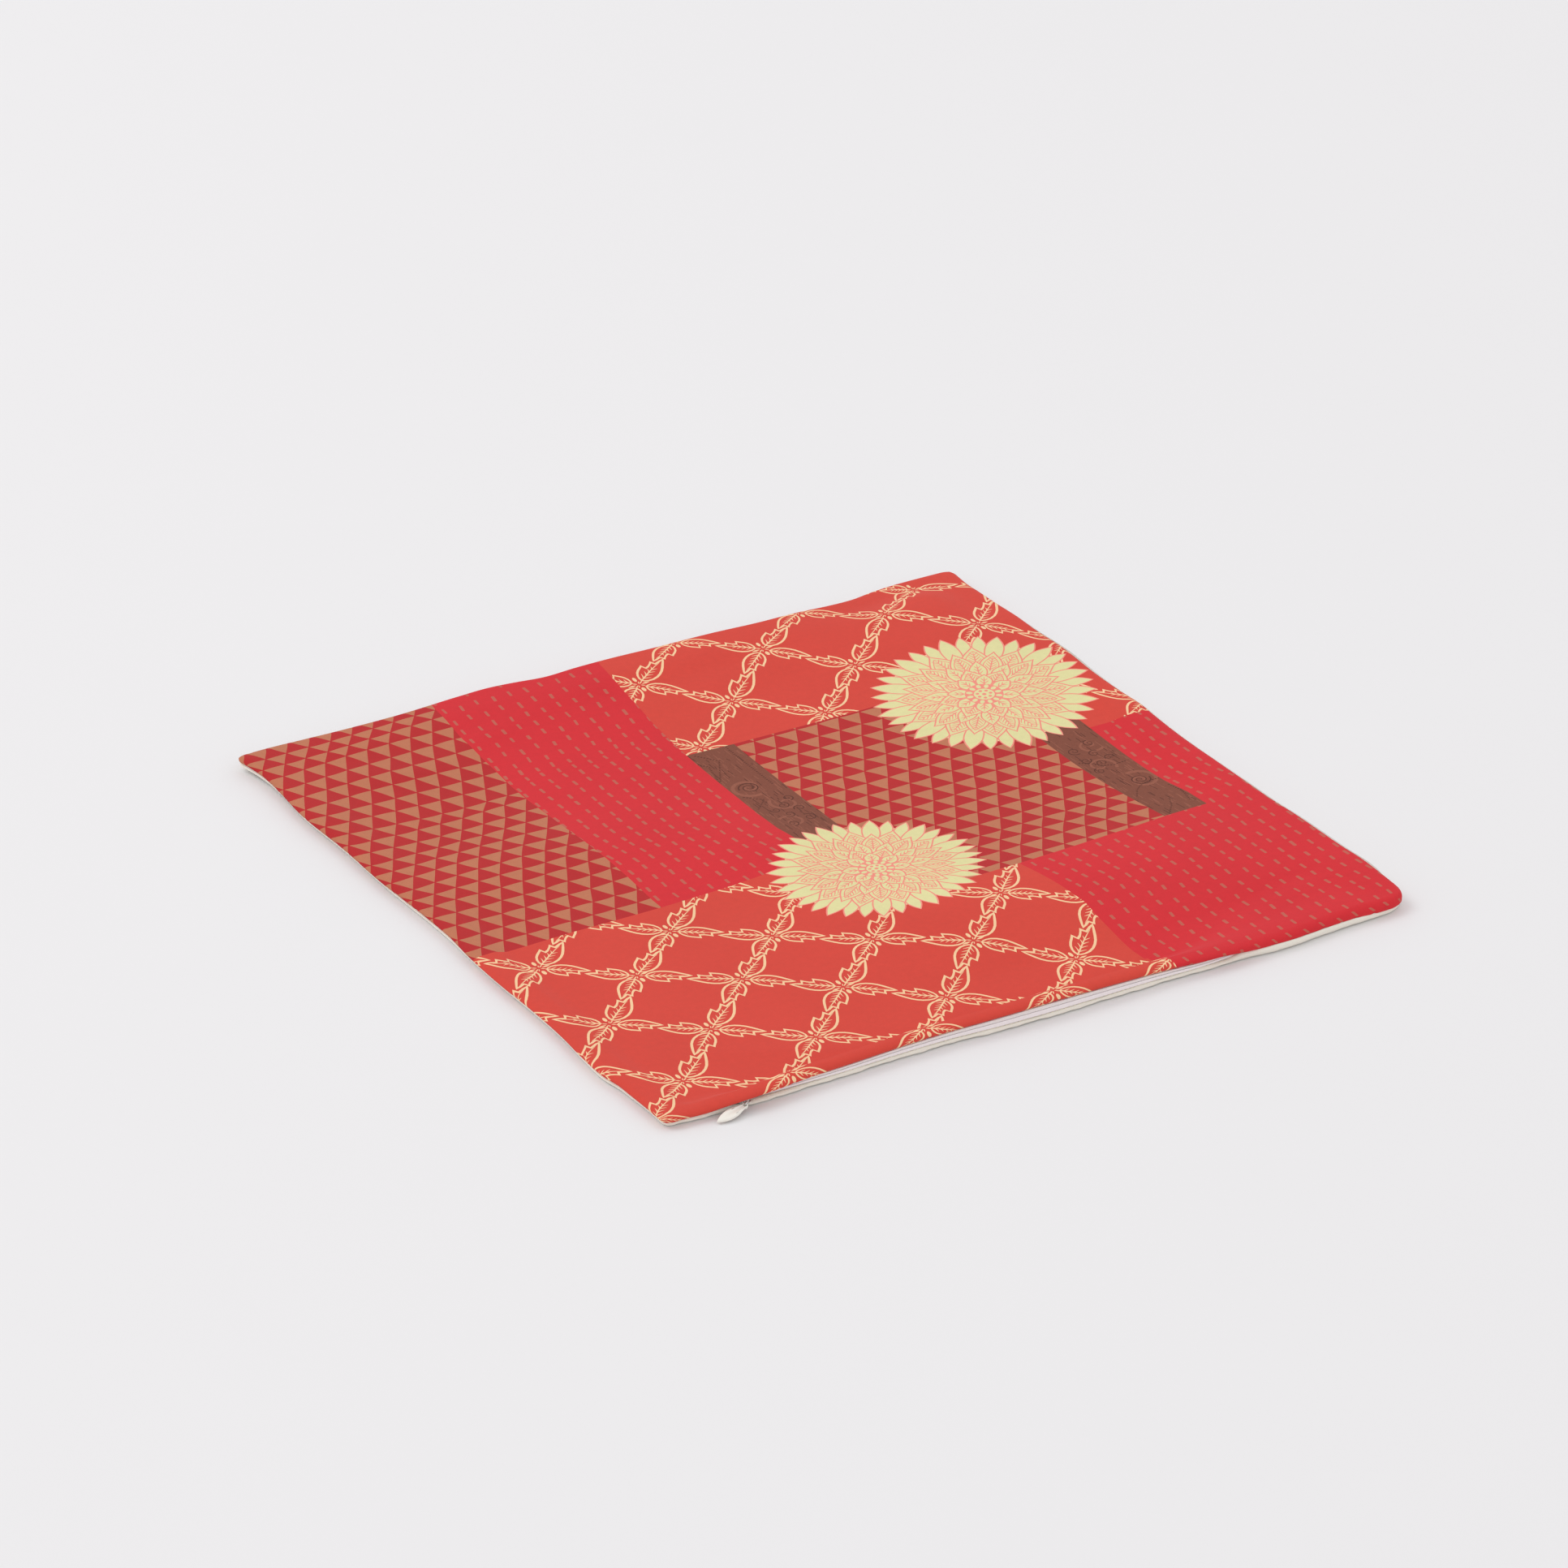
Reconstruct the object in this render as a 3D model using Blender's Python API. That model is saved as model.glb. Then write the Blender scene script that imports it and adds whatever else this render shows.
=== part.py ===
"""Empty cushion cover lying flat: two square cloths sewn on three sides, with a hidden zip on the fourth.

Everything is worked out in millimetres and written to the meshes in metres. The cover lies on z = 0. The
tables below measure from the middle of the plain square, and the finished cover is then moved so that the
middle of its real outline is on the origin. The zip runs along the -Y side, its slider near the -X end.
"""
import math
from collections import namedtuple

import bmesh
import bpy
import numpy as np
from mathutils import Matrix, Vector

# Driving sizes, in millimetres
MM = 0.001
SIDE = 400.0
HALF = SIDE / 2
MIDDLE_X = -1.27
MIDDLE_Y = -1.57
CLOTH = 1.0
TAPE = 1.0
GAP = 0.3
BACK_FOLD_TOP = 2.3
ROLL_DEPTH = 4.0
ZIP_ROLL_DEPTH = 4.5
UNDER_ROLL_DEPTH = 1.5
HALF_FOLD = 1.15
ALLOWANCE = 9.0
ZIP_ALLOWANCE = 5.5
RIM_FLAT = 9.6
ZIP_RIM_FLAT = 5.9
OUTLINE_REACH = 45.0
LIFT_REACH = 26.0
CORNER_RADIUS = {"near": 6.0, "right": 12.0, "left": 6.0, "far": 7.0}
ZIP_START = -156.5
ZIP_END = 92.0
ZIP_LEG = 5.0
ZIP_SETBACK = 0.8
STEP = 20.0
NEAR_X = (0.0, 3.5, 7.5, 13.0, 21.0, 31.0, 42.0, 60.0)
NEAR_Y = (0.0, 1.7, 3.6, 5.6, 8.0, 12.0, 20.0, 33.0, 50.0)
BACK_TAPE_SHARE = 0.56
TAPE_SHOULDER = 0.35
BLEND_START = 2.0
BLEND_POWER = 3
FLOOR_SOFTNESS = 0.25

# Rows along each side: distance along it, how far the front cloth's edge stands out past the square, how
# far it overhangs the back cloth's edge, the height of its seam fold, the height of its rolled edge, the
# height that the back cloth is lifted to, and the width over which the raised edge falls to the field.
Edge = namedtuple("Edge", "along out over seam crown lift fall")

WEST = [
    Edge(-200, -0.1, 1.4, 2.6, 5.4, 0.0, 9),
    Edge(-183, -0.3, 1.6, 2.6, 5.3, 0.0, 9),
    Edge(-168, 0.1, 1.3, 2.6, 5.4, 0.0, 9),
    Edge(-158, 0.4, 1.0, 2.6, 5.6, 0.0, 9),
    Edge(-149, 1.9, 0.9, 2.6, 5.8, 0.0, 9),
    Edge(-128, 1.8, 1.3, 2.6, 5.4, 0.0, 9),
    Edge(-108, 0.4, 1.5, 2.6, 5.2, 0.0, 9),
    Edge(-80, 0.0, 1.5, 2.6, 5.1, 0.0, 9),
    Edge(-50, 0.8, 1.7, 2.6, 5.1, 0.0, 9),
    Edge(-20, 0.2, 1.4, 2.6, 5.3, 0.0, 9),
    Edge(0, -1.2, 0.9, 2.6, 5.4, 0.0, 9),
    Edge(20, -1.1, 0.9, 2.6, 5.5, 0.0, 9),
    Edge(40, -0.3, 1.1, 2.6, 5.7, 0.0, 9),
    Edge(60, 0.6, 1.5, 2.6, 5.8, 0.0, 10),
    Edge(100, 0.3, 1.6, 2.6, 6.2, 0.0, 12),
    Edge(140, 1.4, 1.5, 2.8, 6.8, 0.2, 14),
    Edge(165, -0.3, 1.4, 3.2, 7.2, 0.6, 16),
    Edge(180, -0.3, 0.9, 3.8, 7.4, 1.2, 16),
    Edge(192, 1.8, 0.6, 4.4, 7.4, 1.8, 16),
    Edge(200, 3.8, 0.2, 4.6, 7.4, 2.0, 16),
]
EAST = [
    Edge(-200, -0.6, 0.0, 2.9, 7.4, 0.0, 24),
    Edge(-180, -0.2, 0.0, 2.9, 8.4, 0.0, 24),
    Edge(-160, 0.1, 0.0, 2.9, 8.8, 0.0, 24),
    Edge(-145, -0.5, 0.0, 2.9, 8.4, 0.0, 24),
    Edge(-128, -0.9, 0.0, 2.9, 8.5, 0.0, 24),
    Edge(-108, -1.2, 0.0, 2.9, 8.3, 0.0, 24),
    Edge(-88, -2.1, 0.0, 2.9, 7.9, 0.0, 22),
    Edge(-70, -2.1, 0.0, 2.9, 7.7, 0.0, 20),
    Edge(-50, -2.0, 0.0, 2.9, 7.2, 0.0, 18),
    Edge(-10, -2.0, 0.0, 2.9, 6.6, 0.0, 16),
    Edge(12, -0.9, 0.0, 2.9, 6.4, 0.0, 16),
    Edge(27, 0.0, 0.0, 2.9, 6.5, 0.0, 16),
    Edge(42, -1.1, 0.0, 2.9, 6.8, 0.0, 18),
    Edge(62, -1.8, 0.0, 2.9, 7.5, 0.0, 20),
    Edge(95, -1.0, 0.0, 2.9, 8.4, 0.0, 24),
    Edge(117, -1.8, 0.0, 2.9, 8.1, 0.0, 24),
    Edge(132, -1.7, 0.0, 2.9, 8.2, 0.0, 24),
    Edge(152, -2.2, 0.0, 2.9, 7.5, 0.0, 22),
    Edge(167, -2.4, 0.0, 2.9, 7.1, 0.0, 18),
    Edge(182, -2.3, 0.0, 3.0, 6.1, 0.2, 14),
    Edge(200, -0.8, 0.0, 3.2, 5.6, 0.6, 12),
]
NORTH = [
    Edge(-200, 2.9, 0.0, 4.6, 7.0, 2.0, 16),
    Edge(-185, 2.8, 0.0, 4.6, 7.5, 2.0, 20),
    Edge(-163, 1.5, 0.0, 4.6, 7.7, 2.0, 24),
    Edge(-143, 0.1, 0.0, 4.6, 8.1, 2.0, 26),
    Edge(-113, -0.8, 0.0, 4.8, 8.6, 2.2, 28),
    Edge(-83, 0.2, 0.0, 5.0, 9.2, 2.4, 28),
    Edge(-66, 0.4, 0.0, 5.0, 9.4, 2.4, 28),
    Edge(-53, -1.4, 0.0, 5.0, 9.5, 2.4, 28),
    Edge(-38, -4.2, 0.0, 5.0, 9.6, 2.4, 28),
    Edge(-20, -3.6, 0.0, 5.0, 9.7, 2.4, 28),
    Edge(0, -3.9, 0.0, 5.0, 9.8, 2.4, 28),
    Edge(20, -5.0, 0.0, 5.0, 9.8, 2.4, 28),
    Edge(57, -6.3, 0.0, 5.0, 9.8, 2.4, 28),
    Edge(80, -7.6, 0.0, 5.0, 9.4, 2.4, 28),
    Edge(107, -6.8, 0.0, 4.8, 8.2, 2.2, 26),
    Edge(123, -7.6, 0.0, 4.6, 7.6, 2.0, 24),
    Edge(138, -7.2, 0.0, 4.4, 7.0, 1.8, 22),
    Edge(149, -5.0, 0.0, 4.2, 6.6, 1.6, 20),
    Edge(160, -3.4, 0.0, 4.0, 6.3, 1.4, 18),
    Edge(180, -2.5, 0.0, 3.6, 5.8, 1.0, 14),
    Edge(200, -2.3, 0.0, 3.2, 5.3, 0.6, 12),
]
SOUTH = [
    Edge(-200, -2.0, 1.4, 2.6, 5.4, 0.0, 9),
    Edge(-190, -2.0, 1.6, 2.6, 5.4, 0.0, 8),
    Edge(-178, -0.9, 1.5, 2.8, 5.9, 0.0, 8),
    Edge(-168, 0.8, 2.9, 4.3, 7.5, 0.0, 8),
    Edge(-158, 2.1, 3.5, 5.4, 8.4, 0.0, 7),
    Edge(-145, 1.4, 2.6, 5.4, 8.7, 0.0, 7),
    Edge(-130, 0.0, 1.2, 5.4, 9.0, 0.0, 7),
    Edge(-100, -0.9, 0.6, 5.8, 9.2, 0.0, 7),
    Edge(-72, -1.4, 0.5, 6.2, 9.3, 0.0, 7),
    Edge(-52, -1.1, 0.4, 6.5, 9.6, 0.0, 7),
    Edge(-27, 0.8, 0.4, 7.2, 10.3, 0.0, 7),
    Edge(-2, 1.7, 0.3, 7.5, 10.6, 0.0, 7),
    Edge(23, 1.9, 0.3, 7.2, 10.4, 0.0, 7),
    Edge(48, 1.9, 0.4, 6.5, 9.7, 0.0, 8),
    Edge(70, 2.3, 0.5, 5.8, 8.8, 0.0, 9),
    Edge(84, 3.4, 1.2, 5.4, 8.4, 0.0, 12),
    Edge(94, 3.9, 1.5, 5.3, 8.2, 0.0, 15),
    Edge(110, 4.2, 1.4, 4.0, 7.9, 0.0, 22),
    Edge(132, 4.6, 1.2, 3.6, 7.9, 0.0, 26),
    Edge(152, 3.3, 1.3, 3.5, 7.9, 0.0, 26),
    Edge(167, 2.5, 1.4, 3.2, 8.1, 0.0, 26),
    Edge(182, 3.1, 1.6, 2.9, 7.8, 0.0, 24),
    Edge(200, 2.4, 2.4, 2.9, 7.6, 0.0, 24),
]

# Soft folds of the front cloth: centre, half length, half width, turn of the length from +X, and height
Fold = namedtuple("Fold", "x y length width turn height")
FIELD = 3.6
FIELD_FLOOR = 3.0
FOLDS = [
    Fold(20, 211, 260, 62, 0, 7.0),
    Fold(206, 211, 60, 45, 0, -5.0),
    Fold(166, 126, 60, 55, 0, 4.6),
    Fold(-69, 91, 70, 40, 0, -0.6),
    Fold(-134, 41, 60, 30, 0, 2.0),
    Fold(-27, -9, 38, 35, 90, 3.6),
    Fold(21, -99, 75, 40, 0, 4.4),
    Fold(151, -114, 90, 55, 0, 4.4),
    Fold(206, -189, 60, 50, 0, 3.0),
    Fold(-204, 96, 70, 30, 90, 2.0),
    Fold(16, -174, 90, 22, 0, -2.0),
    Fold(-164, -49, 60, 45, 0, -0.8),
    Fold(206, 26, 80, 30, 90, 2.2),
    Fold(172, 172, 36, 12, -48, 1.4),
]

# Zip slider, link and pull
SLIDER_LOW = Vector((-162.3, -199.8, 2.7))
SLIDER_HIGH = Vector((-157.0, -196.6, 4.6))
SLIDER_BEVEL = 0.4
BRIDGE_CENTRE = Vector((-158.9, -199.9, 4.0))
BRIDGE_RADIUS = 1.5
BRIDGE_WIRE = 0.32
LINK_AT_BRIDGE = Vector((-158.9, -200.44, 4.0))
LINK_UP = Vector((0.0, -0.5, 0.87))
LINK_WIRE = 0.28
PULL_EYE = Vector((-161.3, -202.2, 3.4))
PULL_TIP = Vector((-176.9, -204.3, 1.0))
PULL_NORMAL = Vector((0.0, -0.28, 0.96))
PULL_THICKNESS = 1.5
PULL_HALF_WIDTH = 2.75
PULL_EYE_RADIUS = 1.4
PULL_HOLE_RADIUS = 0.78
PULL_BEVEL = 0.45


def smooth_rows(rows, column, where):
    """Reads one column of a table at the given places with a smooth curve through its rows."""
    along = np.array([row.along for row in rows], dtype=float)
    value = np.array([getattr(row, column) for row in rows], dtype=float)
    slope = np.gradient(value, along)
    where = np.clip(np.asarray(where, dtype=float), along[0], along[-1])
    index = np.clip(np.searchsorted(along, where) - 1, 0, len(along) - 2)
    span = along[index + 1] - along[index]
    t = (where - along[index]) / span
    start = (1 + 2 * t) * (1 - t) ** 2 * value[index] + t * (1 - t) ** 2 * span * slope[index]
    end = t * t * (3 - 2 * t) * value[index + 1] + t * t * (t - 1) * span * slope[index + 1]
    return start + end


def fade(distance, width):
    """Falls smoothly from 1 at no distance to 0 at the given width."""
    t = np.clip(distance / width, 0.0, 1.0)
    return 1.0 - t * t * (3.0 - 2.0 * t)


def side_distances(x, y):
    """Distances from a point of the square to its west, east, south and north sides."""
    return x + HALF, HALF - x, y + HALF, HALF - y


def edge_value(column, x, y):
    """Blends a column of the four side tables, each weighted by its nearness."""
    tables = (WEST, EAST, SOUTH, NORTH)
    places = (y, y, x, x)
    total = 0.0
    weights = 0.0
    for rows, place, distance in zip(tables, places, side_distances(x, y)):
        weight = 1.0 / (np.maximum(distance, 0.0) + BLEND_START) ** BLEND_POWER
        total = total + weight * smooth_rows(rows, column, place)
        weights = weights + weight
    return total / weights


def round_corner(x, y):
    """Moves points of the square's corner cells onto quarter discs, so that the outline turns each corner."""
    for sx, sy, name in ((-1, -1, "near"), (1, -1, "right"), (-1, 1, "left"), (1, 1, "far")):
        radius = CORNER_RADIUS[name]
        s = (sx * x - (HALF - radius)) / radius
        t = (sy * y - (HALF - radius)) / radius
        inside = (s > 0) & (t > 0)
        s = np.clip(s, 0.0, 1.0)
        t = np.clip(t, 0.0, 1.0)
        new_x = sx * (HALF - radius + radius * s * np.sqrt(1 - t * t / 2))
        new_y = sy * (HALF - radius + radius * t * np.sqrt(1 - s * s / 2))
        x, y = np.where(inside, new_x, x), np.where(inside, new_y, y)
    return x, y


def edge_out(rows, where, is_back):
    """How far one side's edge stands out past the square, for the front or the back cloth."""
    out = smooth_rows(rows, "out", where)
    return out - smooth_rows(rows, "over", where) if is_back else out


def plan(x, y, is_back=False):
    """Places a point of the plain square in the cover's plan, with its uneven sides and round corners."""
    west, east, south, north = side_distances(x, y)
    shift_x = edge_out(EAST, y, is_back) * np.exp(-east / OUTLINE_REACH)
    shift_x = shift_x - edge_out(WEST, y, is_back) * np.exp(-west / OUTLINE_REACH)
    shift_y = edge_out(NORTH, x, is_back) * np.exp(-north / OUTLINE_REACH)
    shift_y = shift_y - edge_out(SOUTH, x, is_back) * np.exp(-south / OUTLINE_REACH)
    x, y = round_corner(x, y)
    return x + shift_x, y + shift_y


def field_height(x, y):
    """Height of the front cloth's upper face away from its edges."""
    height = np.full_like(np.asarray(x, dtype=float), FIELD)
    for fold in FOLDS:
        turn = math.radians(fold.turn)
        along = (x - fold.x) * math.cos(turn) + (y - fold.y) * math.sin(turn)
        across = (y - fold.y) * math.cos(turn) - (x - fold.x) * math.sin(turn)
        height = height + fold.height * np.exp(-((along / fold.length) ** 2) - (across / fold.width) ** 2)
    low = height - FIELD_FLOOR
    return FIELD_FLOOR + 0.5 * (low + np.sqrt(low * low + FLOOR_SOFTNESS))


def front_height(x, y):
    """Height of the front cloth's upper face, with its raised edges over the turned-in allowances."""
    open_share = 1.0
    tables = (WEST, EAST, SOUTH, NORTH)
    flats = (RIM_FLAT, RIM_FLAT, ZIP_RIM_FLAT, RIM_FLAT)
    for rows, place, distance, flat in zip(tables, (y, y, x, x), side_distances(x, y), flats):
        open_share = open_share * (1.0 - fade(distance - flat, smooth_rows(rows, "fall", place)))
    crown = edge_value("crown", x, y)
    return crown + (field_height(x, y) - crown) * open_share


def back_height(x, y):
    """Height of the back cloth's underside: on the table, but lifted along the far edges."""
    nearest = np.minimum.reduce(side_distances(x, y))
    return np.maximum(edge_value("lift", x, y), 0.0) * np.exp(-((nearest / LIFT_REACH) ** 2))


def back_fold_top(x, y):
    """Height of the upper face of the back cloth's turned-in allowance, just under the front cloth's."""
    return np.minimum(edge_value("seam", x, y) - GAP, BACK_FOLD_TOP + edge_value("lift", x, y))


def stations(near):
    """Places from 0 to 1 along a side: the given distances from both its ends, and even steps between."""
    inner = np.linspace(near[-1], SIDE - near[-1], round((SIDE - 2 * near[-1]) / STEP) + 1)
    low = np.array(near[:-1])
    return np.concatenate([low, inner, SIDE - low[::-1]]) / SIDE


def inset_square(u, v, insets):
    """Point of the square for shares u and v of its sides, drawn in by insets on its four sides."""
    west, east, south, north = insets
    x = -HALF + west + u * (SIDE - west - east)
    y = -HALF + south + v * (SIDE - south - north)
    return x, y


def border(count_u, count_v):
    """Grid indices around a rectangle, counter-clockwise seen from above."""
    ring = [(i, 0) for i in range(count_u)]
    ring += [(count_u, j) for j in range(count_v)]
    ring += [(i, count_v) for i in range(count_u, 0, -1)]
    ring += [(0, j) for j in range(count_v, 0, -1)]
    return ring


def sheet_mesh(name, shares_u, shares_v, grid_points, ring_points, faces_up):
    """Makes an open sheet: a grid and then rings around it, with its faces on the cloth's right side."""
    count_u, count_v = len(shares_u) - 1, len(shares_v) - 1
    mesh = bmesh.new()
    grid = [[mesh.verts.new(grid_points[i, j] * MM) for j in range(count_v + 1)] for i in range(count_u + 1)]
    loop = [grid[i][j] for i, j in border(count_u, count_v)]
    for i in range(count_u):
        for j in range(count_v):
            quad = [grid[i][j], grid[i + 1][j], grid[i + 1][j + 1], grid[i][j + 1]]
            mesh.faces.new(quad if faces_up else quad[::-1])
    for points in ring_points:
        outer = [mesh.verts.new(point * MM) for point in points]
        for k in range(len(loop)):
            after = (k + 1) % len(loop)
            quad = [loop[k], outer[k], outer[after], loop[after]]
            mesh.faces.new(quad if faces_up else quad[::-1])
        loop = outer
    data = bpy.data.meshes.new(name)
    mesh.to_mesh(data)
    mesh.free()
    return data


def ring_shares(shares_u, shares_v):
    """Shares of the sides for each point around the border."""
    ring = border(len(shares_u) - 1, len(shares_v) - 1)
    u = np.array([shares_u[i] for i, _ in ring])
    v = np.array([shares_v[j] for _, j in ring])
    return u, v


def front_sheet():
    """The front cloth's right side: field, rolled edge, fold and the underside of its turned-in allowance."""
    shares_u = stations(NEAR_X)
    shares_v = stations(NEAR_Y)
    roll = (ROLL_DEPTH, ROLL_DEPTH, ZIP_ROLL_DEPTH, ROLL_DEPTH)
    u, v = np.meshgrid(shares_u, shares_v, indexing="ij")
    x, y = inset_square(u, v, roll)
    grid = np.stack([*plan(x, y), front_height(x, y)], axis=-1)
    u, v = ring_shares(shares_u, shares_v)
    crown = edge_value("crown", *inset_square(u, v, roll))
    rings = []
    for angle in (60, 28, 0, -45, -90):
        turn = math.radians(angle)
        depths = roll if angle > 0 else (UNDER_ROLL_DEPTH,) * 4
        x, y = inset_square(u, v, [depth * (1 - math.cos(turn)) for depth in depths])
        middle = edge_value("seam", x, y) + HALF_FOLD
        rise = crown - middle if angle > 0 else HALF_FOLD
        rings.append(np.stack([*plan(x, y), middle + rise * math.sin(turn)], axis=-1))
    x, y = inset_square(u, v, (ALLOWANCE, ALLOWANCE, ZIP_ALLOWANCE, ALLOWANCE))
    rings.append(np.stack([*plan(x, y), edge_value("seam", x, y)], axis=-1))
    return sheet_mesh("front_panel", shares_u, shares_v, grid, rings, True)


def back_sheet():
    """The back cloth's right side: underside, rounded edge and the upper face of its turned-in allowance."""
    shares_u = stations(NEAR_X)
    shares_v = stations(NEAR_Y)
    depth = (UNDER_ROLL_DEPTH,) * 4
    u, v = np.meshgrid(shares_u, shares_v, indexing="ij")
    x, y = inset_square(u, v, depth)
    grid = np.stack([*plan(x, y, True), back_height(x, y)], axis=-1)
    u, v = ring_shares(shares_u, shares_v)
    bottom = back_height(*inset_square(u, v, depth))
    rings = []
    for angle in (-45, 0, 45, 90):
        turn = math.radians(angle)
        x, y = inset_square(u, v, [UNDER_ROLL_DEPTH * (1 - math.cos(turn))] * 4)
        middle = (back_fold_top(x, y) + bottom) / 2
        rise = (back_fold_top(x, y) - bottom) / 2
        rings.append(np.stack([*plan(x, y, True), middle + rise * math.sin(turn)], axis=-1))
    x, y = inset_square(u, v, (ALLOWANCE, ALLOWANCE, ZIP_ALLOWANCE, ALLOWANCE))
    rings.append(np.stack([*plan(x, y, True), back_fold_top(x, y)], axis=-1))
    return sheet_mesh("back_panel", shares_u, shares_v, grid, rings, False)


def add_cloth(name, data, material):
    """Adds a sheet as an object and gives it its thickness towards the inside of the cover."""
    cloth = bpy.data.objects.new(name, data)
    bpy.context.scene.collection.objects.link(cloth)
    data.materials.append(material)
    data.shade_smooth()
    wall = cloth.modifiers.new("thickness", "SOLIDIFY")
    wall.thickness = CLOTH * MM
    wall.offset = -1.0
    wall.use_even_offset = True
    return cloth


def zip_line(x):
    """Plan of the zip edge at x and the front fold's height, on straight lines between the stations."""
    shares = stations(NEAR_X)
    rim = inset_square(shares, 0.0 * shares, (0, 0, 0, 0))
    inner = inset_square(shares, 0.0 * shares, (ALLOWANCE, ALLOWANCE, ZIP_ALLOWANCE, ALLOWANCE))
    front_x, front_y = plan(*rim)
    back_x, back_y = plan(*rim, True)
    inner_x, _ = plan(*inner)
    edge = (np.interp(x, front_x, front_y) + np.interp(x, back_x, back_y)) / 2
    outer_seam = np.interp(x, front_x, edge_value("seam", *rim))
    inner_seam = np.interp(x, inner_x, edge_value("seam", *inner))
    return float(edge), float(min(outer_seam, inner_seam))


def zip_places():
    """Places along the zip where its tapes bend: its ends and the cloth's stations between them."""
    knots = stations(NEAR_X) * SIDE - HALF
    front_x, _ = plan(knots, np.full_like(knots, -HALF))
    return [ZIP_START] + [float(x) for x in front_x if ZIP_START + 2 < x < ZIP_END - 2] + [ZIP_END]


def tape_profile(x, is_back):
    """Section of a tape at one station: a leg into the cover and a lip that shows, softly bent."""
    edge, seam = zip_line(x)
    face = edge + ZIP_SETBACK
    low = BACK_FOLD_TOP + GAP
    high = seam - GAP
    meet = low + max(TAPE, BACK_TAPE_SHARE * (high - low - GAP))
    meet = min(meet, high - TAPE - GAP)
    shoulder = TAPE_SHOULDER * TAPE
    if is_back:
        base, tip, up = low, meet, 1.0
    else:
        base, tip, up = high, meet + GAP, -1.0
    leg_top = base + up * TAPE
    points = [
        (face + ZIP_LEG, base),
        (face + shoulder, base),
        (face + 0.3 * shoulder, base + up * 0.3 * shoulder),
        (face, base + up * shoulder),
        (face, tip),
        (face + TAPE, tip),
        (face + TAPE, leg_top) if abs(tip - leg_top) > 0.02 else (face + 1.5 * TAPE, (tip + leg_top) / 2),
        (face + ZIP_LEG, leg_top),
    ]
    return [Vector((x, y, z)) for y, z in points]


def add_tape(name, is_back, material):
    """Adds one zip tape by joining its sections along the zip."""
    mesh = bmesh.new()
    rings = []
    for x in zip_places():
        rings.append([mesh.verts.new(point * MM) for point in tape_profile(x, is_back)])
    for before, after in zip(rings, rings[1:]):
        for k in range(len(before)):
            n = (k + 1) % len(before)
            mesh.faces.new([before[k], before[n], after[n], after[k]])
    mesh.faces.new(rings[0])
    mesh.faces.new(rings[-1][::-1])
    bmesh.ops.recalc_face_normals(mesh, faces=mesh.faces)
    data = bpy.data.meshes.new(name)
    mesh.to_mesh(data)
    mesh.free()
    data.materials.append(material)
    tape = bpy.data.objects.new(name, data)
    bpy.context.scene.collection.objects.link(tape)
    return tape


def add_torus(name, radius, wire, steps, sides, material):
    """Adds a plain round link in its own plane."""
    bpy.ops.mesh.primitive_torus_add(
        major_radius=radius * MM, minor_radius=wire * MM, major_segments=steps, minor_segments=sides
    )
    link = bpy.context.object
    link.name = name
    link.data.name = name
    link.data.materials.append(material)
    link.data.shade_smooth()
    return link


def join_by_union(target, tool):
    """Joins a tool body to the target with a Boolean and hides the tool."""
    union = target.modifiers.new("union", "BOOLEAN")
    union.operation = "UNION"
    union.solver = "EXACT"
    union.object = tool
    tool.hide_render = True
    tool.display_type = "WIRE"


def add_slider(material):
    """Adds the slider: a small rounded body in the mouth of the zip, with a bridge on its outer face."""
    centre = (SLIDER_LOW + SLIDER_HIGH) / 2
    size = SLIDER_HIGH - SLIDER_LOW
    bpy.ops.mesh.primitive_cube_add(size=1.0)
    slider = bpy.context.object
    slider.name = "zip_slider"
    slider.data.name = "zip_slider"
    slider.data.transform(Matrix.Translation(centre * MM) @ Matrix.Diagonal((*(size * MM), 1.0)))
    slider.data.materials.append(material)
    edge = slider.modifiers.new("rounded edges", "BEVEL")
    edge.width = SLIDER_BEVEL * MM
    edge.segments = 2
    bridge = add_torus("slider_bridge", BRIDGE_RADIUS, BRIDGE_WIRE, 20, 8, material)
    bridge.location = BRIDGE_CENTRE * MM
    join_by_union(slider, bridge)
    return slider


def add_link(material):
    """Adds the link that joins the slider's bridge to the pull's eye and leans out from the cloth."""
    across = PULL_EYE - LINK_AT_BRIDGE
    link = add_torus("zip_ring", across.length / 2, LINK_WIRE, 24, 8, material)
    normal = across.cross(LINK_UP).normalized()
    turn = normal.to_track_quat("Z", "Y").to_matrix().to_4x4()
    link.data.transform(Matrix.Translation((LINK_AT_BRIDGE + PULL_EYE) / 2 * MM) @ turn)
    return link


def pull_outline(length):
    """Outline of the teardrop pull in its own plane, from the eye's centre at 0 to the tip at its length."""
    points = []
    for step in range(9):
        angle = math.radians(-120 + 240 * step / 8)
        points.append((-PULL_EYE_RADIUS * math.cos(angle), PULL_EYE_RADIUS * math.sin(angle)))
    body = []
    for step in range(1, 12):
        t = step / 12
        wide = PULL_HALF_WIDTH * math.sin(math.pi * t ** 0.9) ** 0.75
        neck = PULL_EYE_RADIUS * 0.87 * (1 - t) ** 3
        body.append((PULL_EYE_RADIUS * 0.5 + t * (length - PULL_EYE_RADIUS * 0.5), max(wide, neck)))
    points += body
    points.append((length, 0.0))
    points += [(x, -y) for x, y in reversed(body)]
    return points


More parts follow.
